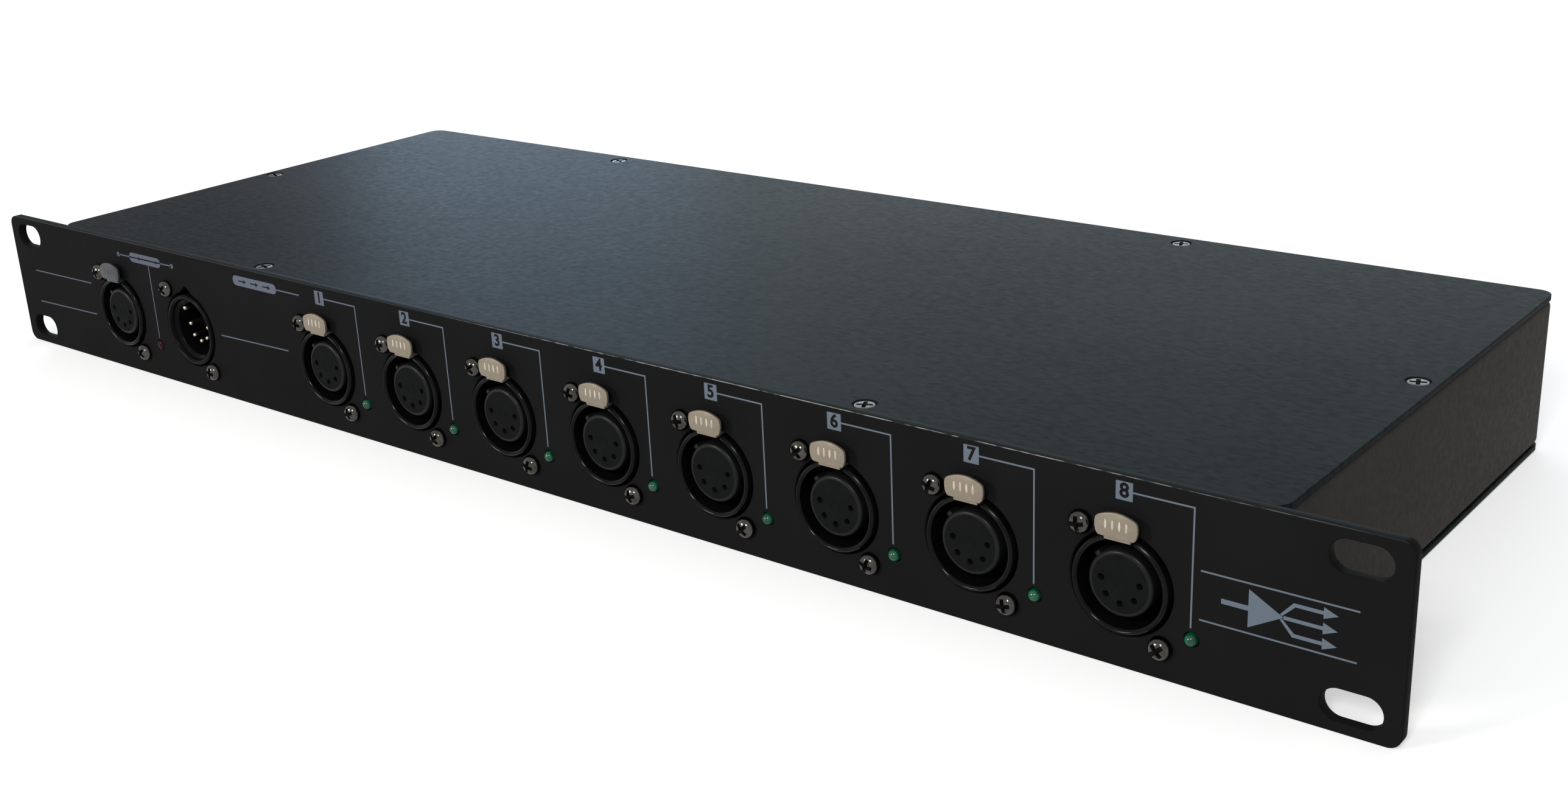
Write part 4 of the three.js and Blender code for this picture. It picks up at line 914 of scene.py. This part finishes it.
# Lamps: 3 mm clear green domes, one beside each output, and a red one between the through socket
# and the input. They push through the panel from behind, and the red one is lower than the others.
green_lens = surface("green_lens", (0.0, 0.045, 0.018), 0.08, specular=0.4)
red_lens = surface("red_lens", (0.025, 0.003, 0.005), 0.14, specular=0.06)
for lens, dark, light in (
    (green_lens, (0.0, 0.03, 0.012), (0.001, 0.085, 0.034)),
    (red_lens, (0.016, 0.003, 0.004), (0.034, 0.005, 0.008)),
):
    vary_colour(lens, (700, 2), dark, light, 0.35, 0.65)
    vary_roughness(lens, (1500, 2), 0.05, 0.1)
dome_profile = [(0, -1.38)]
for step in range(1, 9):
    angle = math.radians(90 * step / 8)
    dome_profile.append((1.5 * math.sin(angle), 0.1 - 1.48 * math.cos(angle)))
dome_profile += [(1.5, 4.5), (1.88, 4.55), (1.88, 5.25), (0, 5.25)]
for count, lamp_x in enumerate(LAMP_XS):
    lamp_name, lens, lens_slot, height = f"output_{count}_lamp", green_lens, "green_lamp", 1.0
    if count == 0:
        lamp_name, lens, lens_slot, height = "power_lamp", red_lens, "red_lamp", 0.45
    profile = [(radius, depth * height if depth < 0 else depth) for radius, depth in dome_profile]
    dome = turned_shape(profile, 32, place=Matrix.Translation(spot(lamp_x, 0, LAMP_Z)))
    lens_piece = finished_piece(f"{lamp_name}_lens", dome, lens, "unit", smooth=40)
    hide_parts(lamp_name)

# Mains inlet: a black moulded appliance inlet let into the rear wall from behind. It has a cup
# with cut-off corners, three flat blades, and a fuse drawer below with a finger edge.
INLET_FACE = 169.5
mains_black = surface("mains_black", (0.012, 0.012, 0.012), 0.42, specular=0.35)
vary_colour(mains_black, (180, 3), (0.0095, 0.0095, 0.0095), (0.015, 0.015, 0.015))
vary_roughness(mains_black, (1100, 3), 0.34, 0.52)
raise_grain(mains_black, (2200, 3), 0.25, 0.00005)
inlet_shape = bmesh.new()
inlet_rim = rounded_outline(30, 32.4, 2, REAR_INLET_X, 0, 6)
inlet_cup = [(-12, -3.6), (12, -3.6), (12, 8.2), (7.4, 12.8), (-7.4, 12.8), (-12, 8.2)]
inlet_cup = [(REAR_INLET_X + u, v) for u, v in inlet_cup]
drawer_mouth = rounded_outline(24, 8, 0, REAR_INLET_X, -9.6, 1)
punched_plate(inlet_shape, [inlet_rim, inlet_cup, drawer_mouth], 167.02, INLET_FACE, 0.3)
inlet_body = rounded_outline(27, 29.4, 0, REAR_INLET_X, 0, 1)
punched_plate(inlet_shape, [inlet_body, inlet_cup, drawer_mouth], 154.0, 167.5)
block_across(inlet_shape, REAR_INLET_X, 13.5, (147.1, 154.05), (-14.7, 14.7), 0.3)
finished_inlet = finished_piece("inlet_housing", inlet_shape, mains_black, "unit")
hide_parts("mains_inlet")
blade_steel = surface("blade_steel", (0.62, 0.6, 0.56), 0.25, metallic=1.0)
vary_colour(blade_steel, (500, 3), (0.52, 0.5, 0.46), (0.7, 0.68, 0.64))
vary_roughness(blade_steel, (1200, 3, (1, 5, 1)), 0.18, 0.36)
blade_shape = bmesh.new()
for blade_x, blade_z in ((-7, 2.6), (0, 6.6), (7, 2.6)):
    x = REAR_INLET_X + blade_x
    block_across(blade_shape, x, 1, (153.5, 168), (blade_z - 2, blade_z + 2), 0.3)
    block_across(blade_shape, x, 3.15, (139.2, 147.3), (4.2, 5.0), 0.1)
finished_piece("inlet_blades", blade_shape, blade_steel, "unit")

drawer_shape = bmesh.new()
block_across(drawer_shape, REAR_INLET_X, 12.25, (169.55, 170.95), (-13.85, -5.35), 0.35, 3)
for middle_x, reach, depths, heights in (
    (REAR_INLET_X, 11.6, (154.6, 157.5), (-13.2, -6.0)),
    (REAR_INLET_X - 11, 0.6, (157.4, 169.7), (-13.2, -6.0)),
    (REAR_INLET_X + 11, 0.6, (157.4, 169.7), (-13.2, -6.0)),
    (REAR_INLET_X, 10.5, (157.4, 169.7), (-13.2, -12.3)),
    (REAR_INLET_X, 3.4, (170.2, 170.98), (-7.3, -6.5)),
):
    block_across(drawer_shape, middle_x, reach, depths, heights, 0.2)
fuse_tray = finished_piece("fuse_tray", drawer_shape, mains_black, "fuse_drawer_body")
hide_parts("fuse_drawer")

glass_tube = surface("glass_tube", (0.85, 0.9, 0.9), 0.05)
set_values(glass_tube.node_tree.nodes["Principled BSDF"], {"Transmission Weight": 0.9})
raise_grain(glass_tube, (400, 2), 0.05, 0.00003)
fuse_place = Matrix.Translation(spot(REAR_INLET_X, 164.5, -9.6)) @ Matrix.Rotation(math.radians(90), 4, "Z")
fuse_shape = turned_shape([(0, -9.9), (2.2, -9.9), (2.2, 9.9), (0, 9.9)], 28, place=fuse_place)
fuse_glass = finished_piece("fuse_glass", fuse_shape, glass_tube, "fuse_drawer_body", smooth=40)
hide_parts("mains_fuse")
cap_shape = bmesh.new()
for start, end in ((-9.98, -5.2), (5.2, 9.98)):
    cap = [(0, start), (2.3, start), (2.5, start + 0.2), (2.5, end - 0.2), (2.3, end), (0, end)]
    add_to(cap_shape, turned_shape(cap, 28, place=fuse_place))
finished_piece("fuse_caps", cap_shape, blade_steel, "fuse_drawer_body", smooth=40)

# Mains switch: a black rocker in a snap-in bezel beside the inlet, with a plain line and a plain
# ring pressed into its two ends. It lies tilted, and tips the other way.
switch_shape = bmesh.new()
bezel_rim = rounded_outline(15, 21, 1.5, REAR_SWITCH_X, 0, 5)
rocker_mouth = rounded_outline(11, 17, 0.4, REAR_SWITCH_X, 0, 3)
punched_plate(switch_shape, [bezel_rim, rocker_mouth], 167.02, 168.8, 0.9)
switch_body = rounded_outline(12.8, 18.8, 0, REAR_SWITCH_X, 0, 1)
punched_plate(switch_shape, [switch_body, rocker_mouth], 161.0, 167.5)
block_across(switch_shape, REAR_SWITCH_X, 6.4, (153.1, 161.05), (-9.4, 9.4), 0.3)
switch_frame = finished_piece("switch_bezel", switch_shape, mains_black, "unit")
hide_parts("switch_body")
tab_shape = bmesh.new()
for tail_z in (-5.1, 4.3):
    block_across(tab_shape, REAR_SWITCH_X, 3.15, (145.1, 153.3), (tail_z, tail_z + 0.8), 0.1)
finished_piece("switch_tabs", tab_shape, blade_steel, "unit")

ROCKER_REACH, ROCKER_HALF_WIDTH, ROCKER_TILT, ROCKER_AXIS_Y = 7.9, 5.2, 10, CHASSIS_REAR


def rocker_rise(v):
    """How high the rocker's bowed face stands at a distance from its middle."""
    return 1.0 + 1.5 * (abs(v) / ROCKER_REACH) ** 1.6


rocker_side = [(rocker_rise(ROCKER_REACH * step / 10), ROCKER_REACH * step / 10) for step in range(-10, 11)]
rocker_side += [(-1.4, 7.2), (-3.0, 2.0), (-3.0, -2.0), (-1.4, -7.2)]
tilt = Matrix.Rotation(math.radians(ROCKER_TILT), 3, "X")


def rocker_spot(u, v, across):
    return spot(REAR_SWITCH_X, ROCKER_AXIS_Y, 0) + tilt @ Vector((across, u, v)) / 1000


rocker_shape = bmesh.new()
punched_plate(rocker_shape, [rocker_side], -ROCKER_HALF_WIDTH, ROCKER_HALF_WIDTH, 0.25, rocker_spot, 3)
rocker = finished_piece("rocker_cap", rocker_shape, mains_black, "switch_rocker_body", smooth=30)
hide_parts("switch_rocker")
sign_ink = surface("switch_sign_ink", (0.6, 0.6, 0.58), 0.5)
vary_colour(sign_ink, (900, 3), (0.52, 0.52, 0.5), (0.66, 0.66, 0.64))
sign_shape = bmesh.new()


def on_rocker(across, v, depth):
    return rocker_spot(rocker_rise(v) + depth, v, across)


line_sign = [rounded_outline(0.5, 2.8, 0, 0, 4.6, 1)]
ring_sign = [round_outline(1.4, 0, -4.6, 28), round_outline(0.95, 0, -4.6, 28)]
for sign in (line_sign, ring_sign):
    punched_plate(sign_shape, sign, 0.04, -0.02, place=on_rocker)
finished_piece("rocker_signs", sign_shape, sign_ink, "switch_rocker_body")

# Boards and transformer: green lacquered fibreglass with black moulded parts, and a varnished
# steel core. They are shut inside, so the frame's own solids stay and get their finishes here.
board_lacquer = surface("board_lacquer", (0.02, 0.12, 0.05), 0.4)
vary_colour(board_lacquer, (300, 4), (0.012, 0.085, 0.035), (0.03, 0.16, 0.07))
raise_grain(board_lacquer, (1800, 2), 0.2, 0.00004)
core_varnish = surface("core_varnish", (0.1, 0.085, 0.07), 0.5, metallic=0.3)
vary_colour(core_varnish, (400, 3, (1, 1, 8)), (0.07, 0.055, 0.045), (0.13, 0.115, 0.095))
raise_grain(core_varnish, (900, 2, (1, 1, 10)), 0.4, 0.0001)
inner_finishes = {"main_board": board_lacquer, "power_board": board_lacquer, "transformer": core_varnish}
for node_name, inner_finish in inner_finishes.items():
    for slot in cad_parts[node_name].material_slots:
        slot.material = inner_finish
